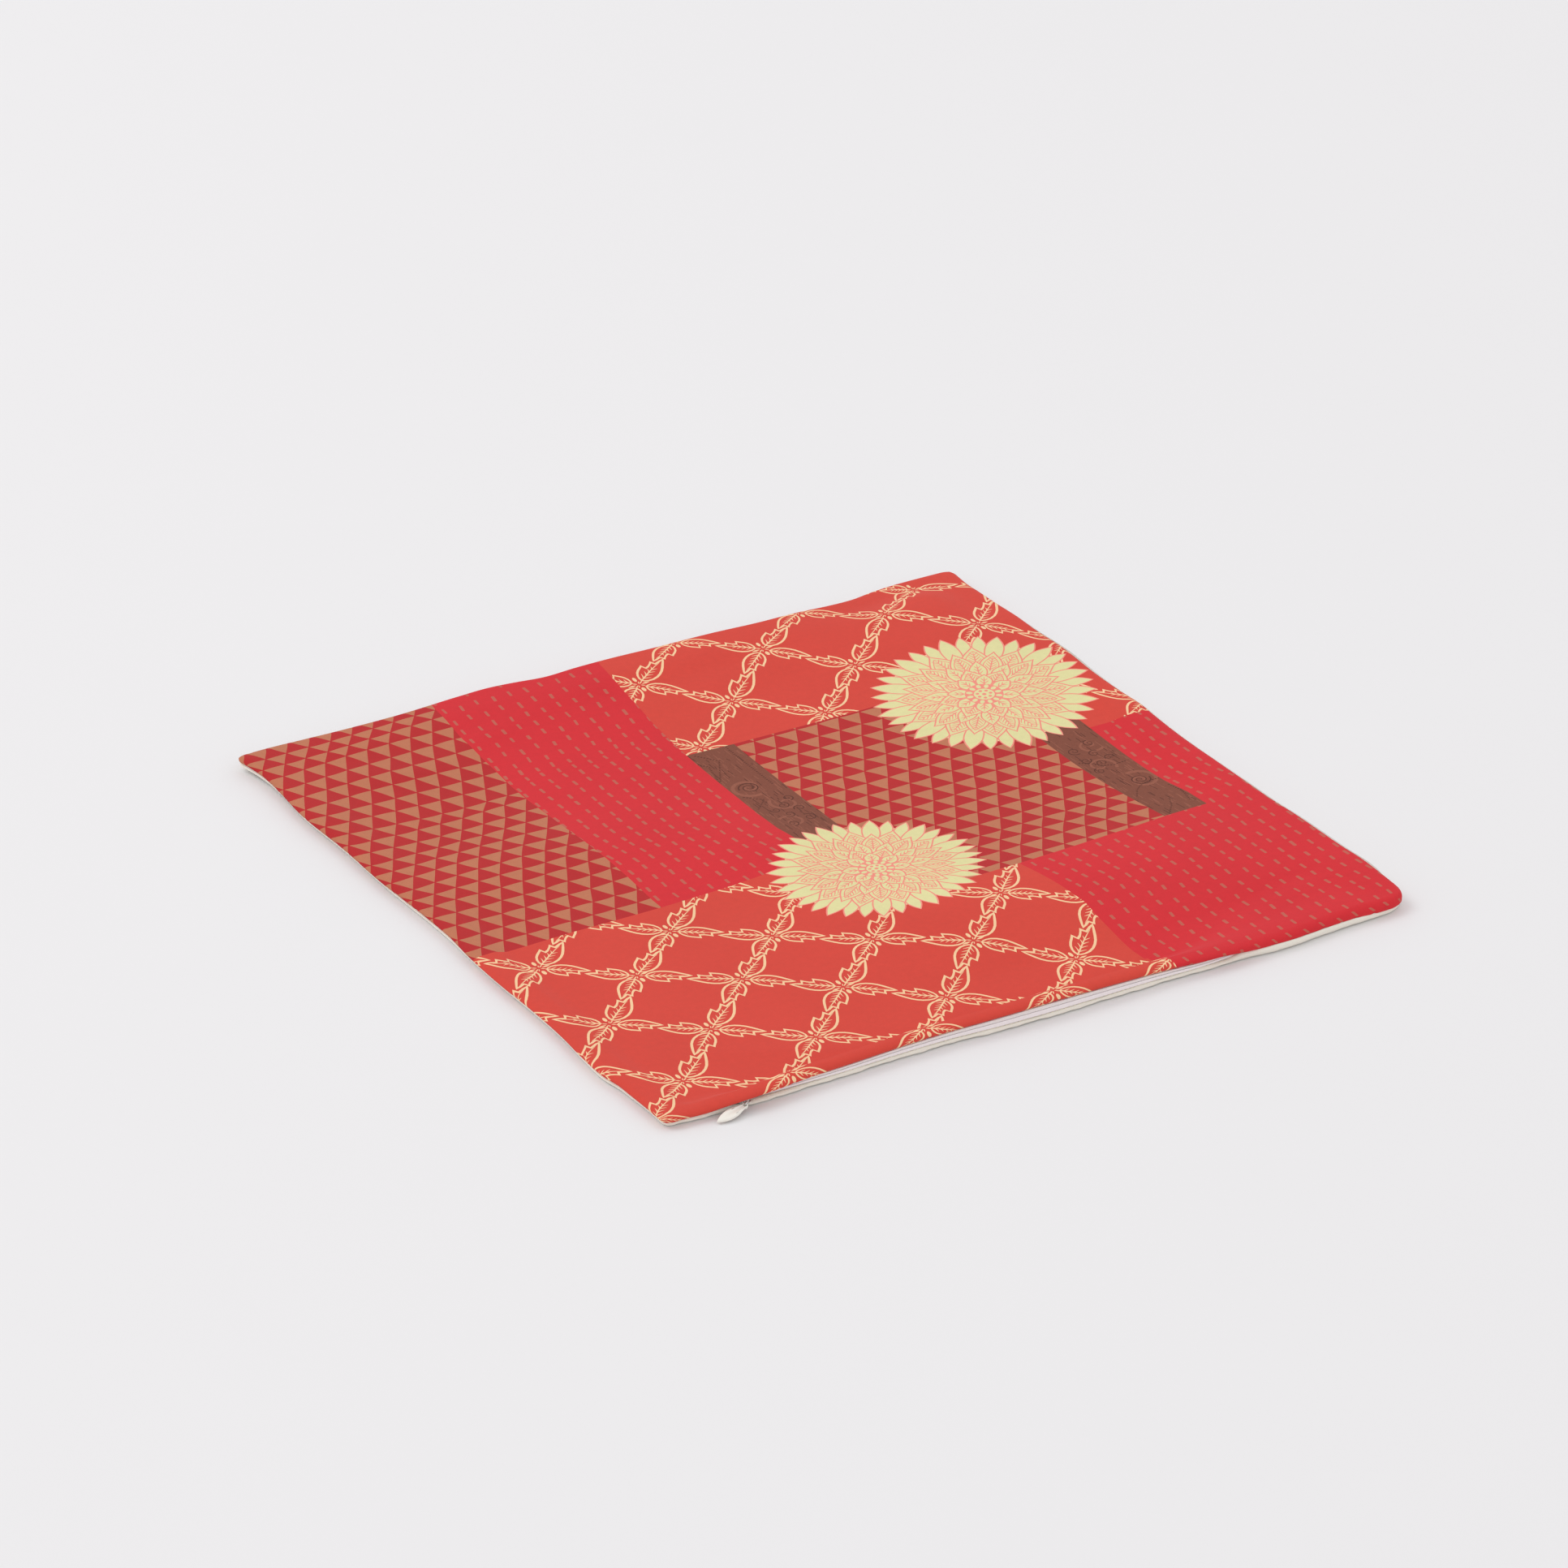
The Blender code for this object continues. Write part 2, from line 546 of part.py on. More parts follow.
def add_pull(material):
    """Adds the teardrop pull, thick, with rounded edges and a hole in its eye."""
    along = PULL_TIP - PULL_EYE
    length = along.length
    axis_x = along.normalized()
    axis_z = (PULL_NORMAL - PULL_NORMAL.dot(axis_x) * axis_x).normalized()
    axis_y = axis_z.cross(axis_x)
    place = Matrix.Translation(PULL_EYE * MM) @ Matrix((axis_x, axis_y, axis_z)).transposed().to_4x4()
    mesh = bmesh.new()
    low = -PULL_THICKNESS / 2
    face = mesh.faces.new([mesh.verts.new(Vector((x, y, low)) * MM) for x, y in pull_outline(length)])
    if face.normal.z > 0:
        face.normal_flip()
    extruded = bmesh.ops.extrude_face_region(mesh, geom=[face])
    top = [item for item in extruded["geom"] if isinstance(item, bmesh.types.BMVert)]
    bmesh.ops.translate(mesh, verts=top, vec=(0, 0, PULL_THICKNESS * MM))
    bmesh.ops.recalc_face_normals(mesh, faces=mesh.faces)
    data = bpy.data.meshes.new("zip_pull")
    mesh.to_mesh(data)
    mesh.free()
    data.transform(place)
    data.materials.append(material)
    pull = bpy.data.objects.new("zip_pull", data)
    bpy.context.scene.collection.objects.link(pull)
    edge = pull.modifiers.new("rounded edges", "BEVEL")
    edge.width = PULL_BEVEL * MM
    edge.segments = 2
    edge.limit_method = "ANGLE"
    edge.angle_limit = math.radians(50)
    depth = 4 * PULL_THICKNESS
    bpy.ops.mesh.primitive_cylinder_add(vertices=16, radius=PULL_HOLE_RADIUS * MM, depth=depth * MM)
    drill = bpy.context.object
    drill.name = "eye_drill"
    drill.data.transform(place)
    drill.hide_render = True
    drill.display_type = "WIRE"
    hole = pull.modifiers.new("eye", "BOOLEAN")
    hole.operation = "DIFFERENCE"
    hole.solver = "EXACT"
    hole.object = drill
    return pull


def finish(name, colour, roughness, metallic=0.0):
    """Makes a plain material from an 8-bit colour."""
    material = bpy.data.materials.new(name)
    material.use_nodes = True
    linear = [((c / 255 + 0.055) / 1.055) ** 2.4 for c in colour]
    shader = material.node_tree.nodes["Principled BSDF"]
    shader.inputs["Base Color"].default_value = (*linear, 1.0)
    shader.inputs["Roughness"].default_value = roughness
    shader.inputs["Metallic"].default_value = metallic
    return material


def main():
    """Clears the scene and builds the cover piece by piece."""
    for thing in list(bpy.data.objects):
        bpy.data.objects.remove(thing, do_unlink=True)
    add_cloth("front_panel", front_sheet(), finish("printed_cotton", (212, 72, 66), 0.9))
    add_cloth("back_panel", back_sheet(), finish("plain_cotton", (236, 229, 216), 0.9))
    add_tape("zip_tape_front", False, finish("ribbed_tape", (208, 203, 204), 0.8))
    add_tape("zip_tape_back", True, finish("smooth_tape", (221, 212, 214), 0.75))
    metal = finish("nickel", (196, 194, 190), 0.3, 1.0)
    add_slider(metal)
    add_link(finish("nickel_link", (200, 198, 196), 0.28, 1.0))
    add_pull(finish("white_enamel", (238, 233, 224), 0.35))
    for thing in bpy.data.objects:
        thing.location -= Vector((MIDDLE_X, MIDDLE_Y, 0.0)) * MM


main()
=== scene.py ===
"""Looks of an empty square cushion cover that lies flat: printed front, plain back and hidden zip.

Sizes are in millimetres and the meshes in metres. Three sets of places are used. The square is the
plain 400 mm square, whose own coordinates run on over the rolled edges as arc length. The table is the
cover as it lies, measured from the middle of the square. The level view is the print as it appears to
the camera on a level plane through the cloth. At the end every mesh is moved so that the middle of the
outline is on the origin.
"""
import logging
import math
from dataclasses import dataclass, field
from enum import Enum, IntEnum
from typing import Iterable, NamedTuple, Sequence

import bmesh
import bpy
import numpy as np
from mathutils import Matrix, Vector
from mathutils.geometry import delaunay_2d_cdt


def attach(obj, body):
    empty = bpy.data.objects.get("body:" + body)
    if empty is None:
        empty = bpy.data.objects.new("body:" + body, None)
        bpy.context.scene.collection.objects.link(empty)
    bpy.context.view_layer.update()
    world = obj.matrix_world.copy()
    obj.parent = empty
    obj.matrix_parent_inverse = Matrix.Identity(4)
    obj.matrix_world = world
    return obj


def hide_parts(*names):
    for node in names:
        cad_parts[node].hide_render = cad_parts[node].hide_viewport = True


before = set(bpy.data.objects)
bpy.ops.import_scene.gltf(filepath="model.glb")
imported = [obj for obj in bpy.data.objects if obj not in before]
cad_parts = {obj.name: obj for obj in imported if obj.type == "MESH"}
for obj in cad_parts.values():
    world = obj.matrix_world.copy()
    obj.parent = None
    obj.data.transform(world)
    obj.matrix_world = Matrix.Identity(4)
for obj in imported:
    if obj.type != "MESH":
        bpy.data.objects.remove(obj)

LOG = logging.getLogger("cushion_cover")
MM = 0.001
HALF = 200.0
MIDDLE = Vector((-1.27, -1.57, 0.0))
TINY = 1e-6
Array = np.ndarray
Place = tuple[float, float]
Triple = tuple[float, float, float]
Colour = Triple
Socket = bpy.types.NodeSocket
Piece = bpy.types.Object


class Edge(NamedTuple):
    """One row of a side's table, in millimetres.

    The columns are the place along the side, how far the front cloth's edge stands out past the square,
    how far it overhangs the back cloth's edge, the heights of the seam fold and of the rolled edge, the
    height that the back cloth is lifted to, and the width over which the raised edge falls to the field.
    """

    along: float
    out: float
    over: float
    seam: float
    crown: float
    lift: float
    fall: float


class Fold(NamedTuple):
    """A soft rise or hollow of the cloth.

    The columns are its centre, half length, half width, the turn of its length from +X, and its height.
    """

    x: float
    y: float
    length: float
    width: float
    turn: float
    height: float


# The four sides, each from its low end to its high end.
WEST = (
    Edge(-200, -0.1, 1.4, 2.6, 5.4, 0.0, 9),
    Edge(-183, -0.3, 1.6, 2.6, 5.3, 0.0, 9),
    Edge(-168, 0.1, 1.3, 2.6, 5.4, 0.0, 9),
    Edge(-158, 0.4, 1.0, 2.6, 5.6, 0.0, 9),
    Edge(-149, 1.9, 0.9, 2.6, 5.8, 0.0, 9),
    Edge(-128, 1.8, 1.3, 2.6, 5.4, 0.0, 9),
    Edge(-108, 0.4, 1.5, 2.6, 5.2, 0.0, 9),
    Edge(-80, 0.0, 1.5, 2.6, 5.1, 0.0, 9),
    Edge(-50, 0.8, 1.7, 2.6, 5.1, 0.0, 9),
    Edge(-20, 0.2, 1.4, 2.6, 5.3, 0.0, 9),
    Edge(0, -1.2, 0.9, 2.6, 5.4, 0.0, 9),
    Edge(20, -1.1, 0.9, 2.6, 5.5, 0.0, 9),
    Edge(40, -0.3, 1.1, 2.6, 5.7, 0.0, 9),
    Edge(60, 0.6, 1.5, 2.6, 5.8, 0.0, 10),
    Edge(100, 0.3, 1.6, 2.6, 6.2, 0.0, 12),
    Edge(140, 1.4, 1.5, 2.8, 6.8, 0.2, 14),
    Edge(165, -0.3, 1.4, 3.2, 7.2, 0.6, 16),
    Edge(180, -0.3, 0.9, 3.8, 7.4, 1.2, 16),
    Edge(192, 1.8, 0.6, 4.4, 7.4, 1.8, 16),
    Edge(200, 3.8, 0.2, 4.6, 7.4, 2.0, 16),
)
EAST = (
    Edge(-200, -0.6, 0.0, 2.9, 7.4, 0.0, 24),
    Edge(-180, -0.2, 0.0, 2.9, 8.4, 0.0, 24),
    Edge(-160, 0.1, 0.0, 2.9, 8.8, 0.0, 24),
    Edge(-145, -0.5, 0.0, 2.9, 8.4, 0.0, 24),
    Edge(-128, -0.9, 0.0, 2.9, 8.5, 0.0, 24),
    Edge(-108, -1.2, 0.0, 2.9, 8.3, 0.0, 24),
    Edge(-88, -2.1, 0.0, 2.9, 7.9, 0.0, 22),
    Edge(-70, -2.1, 0.0, 2.9, 7.7, 0.0, 20),
    Edge(-50, -2.0, 0.0, 2.9, 7.2, 0.0, 18),
    Edge(-10, -2.0, 0.0, 2.9, 6.6, 0.0, 16),
    Edge(12, -0.9, 0.0, 2.9, 6.4, 0.0, 16),
    Edge(27, 0.0, 0.0, 2.9, 6.5, 0.0, 16),
    Edge(42, -1.1, 0.0, 2.9, 6.8, 0.0, 18),
    Edge(62, -1.8, 0.0, 2.9, 7.5, 0.0, 20),
    Edge(95, -1.0, 0.0, 2.9, 8.4, 0.0, 24),
    Edge(117, -1.8, 0.0, 2.9, 8.1, 0.0, 24),
    Edge(132, -1.7, 0.0, 2.9, 8.2, 0.0, 24),
    Edge(152, -2.2, 0.0, 2.9, 7.5, 0.0, 22),
    Edge(167, -2.4, 0.0, 2.9, 7.1, 0.0, 18),
    Edge(182, -2.3, 0.0, 3.0, 6.1, 0.2, 14),
    Edge(200, -0.8, 0.0, 3.2, 5.6, 0.6, 12),
)
NORTH = (
    Edge(-200, 2.9, 0.0, 4.6, 7.0, 2.0, 16),
    Edge(-185, 2.8, 0.0, 4.6, 7.5, 2.0, 20),
    Edge(-163, 1.5, 0.0, 4.6, 7.7, 2.0, 24),
    Edge(-143, 0.1, 0.0, 4.6, 8.1, 2.0, 26),
    Edge(-113, -0.8, 0.0, 4.8, 8.6, 2.2, 28),
    Edge(-83, 0.2, 0.0, 5.0, 9.2, 2.4, 28),
    Edge(-66, 0.4, 0.0, 5.0, 9.4, 2.4, 28),
    Edge(-53, -1.4, 0.0, 5.0, 9.5, 2.4, 28),
    Edge(-38, -4.2, 0.0, 5.0, 9.6, 2.4, 28),
    Edge(-20, -3.6, 0.0, 5.0, 9.7, 2.4, 28),
    Edge(0, -3.9, 0.0, 5.0, 9.8, 2.4, 28),
    Edge(20, -5.0, 0.0, 5.0, 9.8, 2.4, 28),
    Edge(57, -6.3, 0.0, 5.0, 9.8, 2.4, 28),
    Edge(80, -7.6, 0.0, 5.0, 9.4, 2.4, 28),
    Edge(107, -6.8, 0.0, 4.8, 8.2, 2.2, 26),
    Edge(123, -7.6, 0.0, 4.6, 7.6, 2.0, 24),
    Edge(138, -7.2, 0.0, 4.4, 7.0, 1.8, 22),
    Edge(149, -5.0, 0.0, 4.2, 6.6, 1.6, 20),
    Edge(160, -3.4, 0.0, 4.0, 6.3, 1.4, 18),
    Edge(180, -2.5, 0.0, 3.6, 5.8, 1.0, 14),
    Edge(200, -2.3, 0.0, 3.2, 5.3, 0.6, 12),
)
SOUTH = (
    Edge(-200, -2.0, 1.4, 2.6, 5.4, 0.0, 9),
    Edge(-190, -2.0, 1.6, 2.6, 5.4, 0.0, 8),
    Edge(-178, -0.9, 1.5, 2.8, 5.9, 0.0, 8),
    Edge(-168, 0.8, 2.9, 4.3, 7.5, 0.0, 8),
    Edge(-158, 2.1, 3.5, 5.4, 8.4, 0.0, 7),
    Edge(-145, 1.4, 2.6, 5.4, 8.7, 0.0, 7),
    Edge(-130, 0.0, 1.2, 5.4, 9.0, 0.0, 7),
    Edge(-100, -0.9, 0.6, 5.8, 9.2, 0.0, 7),
    Edge(-72, -1.4, 0.5, 6.2, 9.3, 0.0, 7),
    Edge(-52, -1.1, 0.4, 6.5, 9.6, 0.0, 7),
    Edge(-27, 0.8, 0.4, 7.2, 10.3, 0.0, 7),
    Edge(-2, 1.7, 0.3, 7.5, 10.6, 0.0, 7),
    Edge(23, 1.9, 0.3, 7.2, 10.4, 0.0, 7),
    Edge(48, 1.9, 0.4, 6.5, 9.7, 0.0, 8),
    Edge(70, 2.3, 0.5, 5.8, 8.8, 0.0, 9),
    Edge(84, 3.4, 1.2, 5.4, 8.4, 0.0, 12),
    Edge(94, 3.9, 1.5, 5.3, 8.2, 0.0, 15),
    Edge(110, 4.2, 1.4, 4.0, 7.9, 0.0, 22),
    Edge(132, 4.6, 1.2, 3.6, 7.9, 0.0, 26),
    Edge(152, 3.3, 1.3, 3.5, 7.9, 0.0, 26),
    Edge(167, 2.5, 1.4, 3.2, 8.1, 0.0, 26),
    Edge(182, 3.1, 1.6, 2.9, 7.8, 0.0, 24),
    Edge(200, 2.4, 2.4, 2.9, 7.6, 0.0, 24),
)
# Broad rises of the whole cover, and then the fine creases of the front cloth.
FOLDS = (
    Fold(20, 211, 260, 62, 0, 7.0),
    Fold(206, 211, 60, 45, 0, -5.0),
    Fold(166, 126, 60, 55, 0, 4.6),
    Fold(-69, 91, 70, 40, 0, -0.6),
    Fold(-134, 41, 60, 30, 0, 2.0),
    Fold(-27, -9, 38, 35, 90, 3.6),
    Fold(21, -99, 75, 40, 0, 4.4),
    Fold(151, -114, 90, 55, 0, 4.4),
    Fold(206, -189, 60, 50, 0, 3.0),
    Fold(-204, 96, 70, 30, 90, 2.0),
    Fold(16, -174, 90, 22, 0, -2.0),
    Fold(-164, -49, 60, 45, 0, -0.8),
    Fold(206, 26, 80, 30, 90, 2.2),
    Fold(172, 172, 36, 12, -48, 1.4),
)
CREASES = (
    Fold(150, 168, 30, 9, -35, 0.9),
    Fold(-86, 160, 46, 9, 16, 0.8),
    Fold(-150, 150, 40, 9, -14, 0.7),
    Fold(-176, -150, 34, 8, 62, 0.7),
    Fold(128, -176, 46, 7, 12, 0.8),
    Fold(150, -160, 60, 6, 4, -0.5),
    Fold(-120, -170, 38, 7, -28, 0.4),
    Fold(-60, -60, 50, 9, 24, 0.4),
    Fold(90, -150, 44, 8, 40, 0.4),
    Fold(176, 60, 40, 8, 80, 0.5),
    Fold(40, 150, 60, 10, 8, 0.5),
    Fold(-110, 60, 60, 10, 100, 0.5),
)


@dataclass
class CoverShape:
    """The cover's lie: where each point of its two cloths is.

    Every method takes and returns arrays in millimetres.
    """

    roll: float = 4.0
    zip_roll: float = 4.5
    under_roll: float = 1.5
    half_fold: float = 1.15
    allowance: float = 9.0
    zip_allowance: float = 5.5
    rim_flat: float = 9.6
    zip_rim_flat: float = 5.9
    outline_reach: float = 45.0
    lift_reach: float = 26.0
    back_fold: float = 2.3
    gap: float = 0.3
    ground: float = 3.6
    lowest: float = 3.0
    floor_softness: float = 0.25
    crease_start: float = 7.0
    crease_rise: float = 12.0
    over_length: float = 5.6
    under_length: float = 2.1
    turned_length: float = 7.5
    squeeze_start: float = 180.0
    level: float = 4.0
    blend_start: float = 2.0
    blend_power: int = 3
    view_shift: Place = (1.35, 5.85)
    view_slope: Place = (0.971, 1.603)
    view_low: Place = (-HALF - 1.4, -HALF - 1.0)
    view_rounds: int = 18
    view_pull: float = 0.6
    radius: dict[str, float] = field(
        default_factory=lambda: {"near": 6.0, "right": 12.0, "left": 6.0, "far": 7.0}
    )

    def read(self, rows: Sequence[Edge], column: str, where: Array) -> Array:
        """Reads a column of a table with a smooth curve through its rows.

        Args:
            rows: The side's table.
            column: Name of the column.
            where: Places along the side.

        Returns:
            The column's value at each place.
        """
        along = np.array([row.along for row in rows], dtype=float)
        value = np.array([getattr(row, column) for row in rows], dtype=float)
        slope = np.gradient(value, along)
        where = np.clip(np.asarray(where, dtype=float), along[0], along[-1])
        index = np.clip(np.searchsorted(along, where) - 1, 0, len(along) - 2)
        span = along[index + 1] - along[index]
        t = (where - along[index]) / span
        start = (1 + 2 * t) * (1 - t) ** 2 * value[index] + t * (1 - t) ** 2 * span * slope[index]
        end = t * t * (3 - 2 * t) * value[index + 1] + t * t * (t - 1) * span * slope[index + 1]
        return start + end

    @staticmethod
    def fade(distance: Array, width: Array) -> Array:
        """Falls smoothly from 1 at no distance to 0 at the given width."""
        t = np.clip(distance / width, 0.0, 1.0)
        return 1.0 - t * t * (3.0 - 2.0 * t)

    @staticmethod
    def sides(x: Array, y: Array) -> tuple[Array, Array, Array, Array]:
        """Distances from the west, east, south and north sides of the square."""
        return x + HALF, HALF - x, y + HALF, HALF - y

    def blend(self, column: str, x: Array, y: Array) -> Array:
        """Blends a column of the four tables, each weighted by its nearness."""
        total, weights = 0.0, 0.0
        for rows, place, distance in zip((WEST, EAST, SOUTH, NORTH), (y, y, x, x), self.sides(x, y)):
            weight = 1.0 / (np.maximum(distance, 0.0) + self.blend_start) ** self.blend_power
            total = total + weight * self.read(rows, column, place)
            weights = weights + weight
        return total / weights

    def round_corners(self, x: Array, y: Array) -> tuple[Array, Array]:
        """Moves points of the corner cells onto quarter discs.

        Args:
            x: First coordinates in the square.
            y: Second coordinates in the square.

        Returns:
            The moved coordinates.
        """
        for sx, sy, name in ((-1, -1, "near"), (1, -1, "right"), (-1, 1, "left"), (1, 1, "far")):
            radius = self.radius[name]
            s = (sx * x - (HALF - radius)) / radius
            t = (sy * y - (HALF - radius)) / radius
            inside = (s > 0) & (t > 0)
            s, t = np.clip(s, 0.0, 1.0), np.clip(t, 0.0, 1.0)
            new_x = sx * (HALF - radius + radius * s * np.sqrt(1 - t * t / 2))
            new_y = sy * (HALF - radius + radius * t * np.sqrt(1 - s * s / 2))
            x, y = np.where(inside, new_x, x), np.where(inside, new_y, y)
        return x, y

    def shift(self, x: Array, y: Array, back: bool = False) -> tuple[Array, Array]:
        """How far the uneven sides move a point of the square.

        Args:
            x: First coordinates in the square.
            y: Second coordinates in the square.
            back: True for the back cloth, whose edges lie further in.

        Returns:
            The two parts of the move.
        """
        west, east, south, north = self.sides(x, y)
        outs = []
        for rows, place in ((WEST, y), (EAST, y), (SOUTH, x), (NORTH, x)):
            out = self.read(rows, "out", place)
            outs.append(out - self.read(rows, "over", place) if back else out)
        reach = self.outline_reach
        shift_x = outs[1] * np.exp(-east / reach) - outs[0] * np.exp(-west / reach)
        shift_y = outs[3] * np.exp(-north / reach) - outs[2] * np.exp(-south / reach)
        return shift_x, shift_y

    def plan(self, x: Array, y: Array, back: bool = False) -> tuple[Array, Array]:
        """Places points of the square on the table."""
        shift_x, shift_y = self.shift(x, y, back)
        x, y = self.round_corners(x, y)
        return x + shift_x, y + shift_y

    @staticmethod
    def rises(folds: Iterable[Fold], x: Array, y: Array) -> Array:
        """Adds up soft folds at the given places."""
        height = np.zeros_like(x, dtype=float)
        for fold in folds:
            turn = math.radians(fold.turn)
            along = (x - fold.x) * math.cos(turn) + (y - fold.y) * math.sin(turn)
            across = (y - fold.y) * math.cos(turn) - (x - fold.x) * math.sin(turn)
            height += fold.height * np.exp(-((along / fold.length) ** 2) - (across / fold.width) ** 2)
        return height

    def front_height(self, x: Array, y: Array) -> Array:
        """Height of the front cloth inside its rolled edges.

        Args:
            x: First coordinates in the square.
            y: Second coordinates in the square.

        Returns:
            Height at each point.
        """
        low = self.ground + self.rises(FOLDS, x, y) - self.lowest
        inner = self.lowest + 0.5 * (low + np.sqrt(low * low + self.floor_softness))
        sides = self.sides(x, y)
        ease = self.fade(np.minimum.reduce(sides) - self.crease_start, self.crease_rise)
        inner = inner + self.rises(CREASES, x, y) * (1.0 - ease)
        share = 1.0
        flats = (self.rim_flat, self.rim_flat, self.zip_rim_flat, self.rim_flat)
        for rows, place, distance, flat in zip((WEST, EAST, SOUTH, NORTH), (y, y, x, x), sides, flats):
            share = share * (1.0 - self.fade(distance - flat, self.read(rows, "fall", place)))
        crown = self.blend("crown", x, y)
        return crown + (inner - crown) * share

    def back_height(self, x: Array, y: Array) -> Array:
        """Height of the back cloth's underside."""
        nearest = np.minimum.reduce(self.sides(x, y))
        return np.maximum(self.blend("lift", x, y), 0.0) * np.exp(-((nearest / self.lift_reach) ** 2))

    def back_top(self, x: Array, y: Array) -> Array:
        """Height of the upper face of the back cloth's turned-in allowance."""
        return np.minimum(self.blend("seam", x, y) - self.gap, self.back_fold + self.blend("lift", x, y))

    @property
    def domain(self) -> float:
        """Half length of the unrolled front cloth."""
        return HALF - self.roll + self.over_length + self.under_length + self.turned_length

    def squeeze(
        self, place: Array, low: Array, high: Array, real_low: Array, real_high: Array
    ) -> Array:
        """Moves coordinates near the ends onto the real ends and leaves the middle alone.

        Args:
            place: Unrolled coordinates.
            low: Their low end.
            high: Their high end.
            real_low: Where the low end really lies.
            real_high: Where the high end really lies.

        Returns:
            The moved coordinates.
        """
        k = self.squeeze_start
        upper = k + (place - k) * (real_high - k) / (high - k)
        lower = -k + (place + k) * (real_low + k) / (low + k)
        return np.where(place > k, upper, np.where(place < -k, lower, place))

    def front(self, p: Array, q: Array) -> Array:
        """Places points of the unrolled front cloth.

        Args:
            p: First unrolled coordinates.
            q: Second unrolled coordinates.

        Returns:
            One row of table coordinates for each point.
        """
        inner, zip_inner = HALF - self.roll, HALF - self.zip_roll
        excess = np.maximum.reduce([-inner - p, p - inner, -zip_inner - q, q - inner])
        t = np.maximum(excess, 0.0)
        over = np.clip(t / self.over_length, 0.0, 1.0)
        under = np.clip((t - self.over_length) / self.under_length, 0.0, 1.0)
        turned = np.clip((t - self.over_length - self.under_length) / self.turned_length, 0.0, 1.0)
        turn = np.where(under > 0, -under, 1.0 - over) * math.pi / 2
        bend = 1.0 - np.cos(turn)
        below = under > 0
        depth = np.where(below, self.under_roll, self.roll) * bend
        depth = depth + turned * (self.allowance - self.under_roll)
        zip_depth = np.where(below, self.under_roll, self.zip_roll) * bend
        zip_depth = zip_depth + turned * (self.zip_allowance - self.under_roll)
        x = self.squeeze(p, -inner - t, inner + t, -HALF + depth, HALF - depth)
        y = self.squeeze(q, -zip_inner - t, inner + t, -HALF + zip_depth, HALF - depth)
        middle = self.blend("seam", x, y) + self.half_fold
        crown = self.blend("crown", np.clip(x, -inner, inner), np.clip(y, -zip_inner, inner))
        rise = np.where(below, self.half_fold, crown - middle)
        rim = middle + rise * np.sin(turn)
        height = np.where(excess <= 0, self.front_height(x, y), rim)
        return np.stack([*self.plan(x, y), height], axis=-1)

    def seen(self, p: Array, q: Array) -> Array:
        """Places of unrolled points in the level view."""
        places = self.front(p, q)
        above = places[:, 2:] - self.level
        return places[:, :2] - self.view_shift + above * self.view_slope

    def from_view(self, places: Sequence[Place] | Array) -> Array:
        """Turns places of the level view into unrolled coordinates.

        Args:
            places: Pairs as they are read from the level view.

        Returns:
            One row of unrolled coordinates for each place.
        """
        target = np.asarray(places, dtype=float)
        found = target.copy()
        for _ in range(self.view_rounds):
            known = np.clip(found, self.view_low, HALF - self.roll)
            miss = target - self.seen(known[:, 0], known[:, 1]) - (found - known)
            found += self.view_pull * miss
        return found


class Patch(IntEnum):
    """The kinds of printed ground, so that a motif stays on its own ground."""

    TRELLIS = 0
    TRIANGLES = 1
    DASHES = 2
    BROWN = 3
    ROSETTE = 4


def linear(red: float, green: float, blue: float) -> tuple[float, float, float, float]:
    """Linear colour from 8-bit values."""
    return (*[((c / 255 + 0.055) / 1.055) ** 2.4 for c in (red, green, blue)], 1.0)


class Ink(Enum):
    """Printed colours as 8-bit values, and the share of woven grain that each shows."""

    CORAL = (214, 73, 61, 0.0)
    CREAM = (246, 205, 160, 0.0)
    DEEP_RED = (185, 45, 47, 0.0)
    TAN = (192, 120, 90, 0.25)
    ROSE_RED = (213, 49, 56, 0.0)
    DASH = (194, 98, 84, 0.1)
    BROWN = (131, 76, 60, 1.0)
    DARK_BROWN = (94, 52, 41, 1.0)
    LIGHT_BROWN = (149, 90, 72, 1.0)
    PISTACHIO = (226, 220, 162, 0.05)
    PINK = (242, 146, 130, 0.0)

    def linear(self) -> tuple[float, float, float, float]:
        """The colour in linear light, with the grain as its fourth value."""
        red, green, blue, grain = self.value
        return (*linear(red, green, blue)[:3], grain)


class Motif(NamedTuple):
    """A closed outline of print with its ground and ink."""

    outline: Array
    patch: Patch
    ink: Ink


def turned(points: Array, angle: float) -> Array:
    """Turns points about the origin by an angle in radians."""
    c, s = math.cos(angle), math.sin(angle)
    return np.stack([points[:, 0] * c - points[:, 1] * s, points[:, 0] * s + points[:, 1] * c], axis=-1)


def unit(rows: Array, least: float = TINY) -> Array:
    """Scales rows to a length of one, where they are longer than the least length."""
    return rows / np.maximum(np.linalg.norm(rows, axis=-1, keepdims=True), least)


def inset_outline(points: Array, depth: float, limit: float = 2.2) -> Array:
    """Draws a closed outline in along its own corners.

    Args:
        points: Outline, counter-clockwise.
        depth: Distance of the new sides from the old.
        limit: Most that a sharp corner may move, in depths.

    Returns:
        The smaller outline.
    """
    before = unit(points - np.roll(points, 1, axis=0))
    after = unit(np.roll(points, -1, axis=0) - points)
    both = before + after
    size = np.maximum(np.linalg.norm(both, axis=1, keepdims=True), TINY)
    normal = np.stack([-both[:, 1], both[:, 0]], axis=-1) / size
    return points + normal * np.clip(2.0 / size, 1.0, limit) * depth


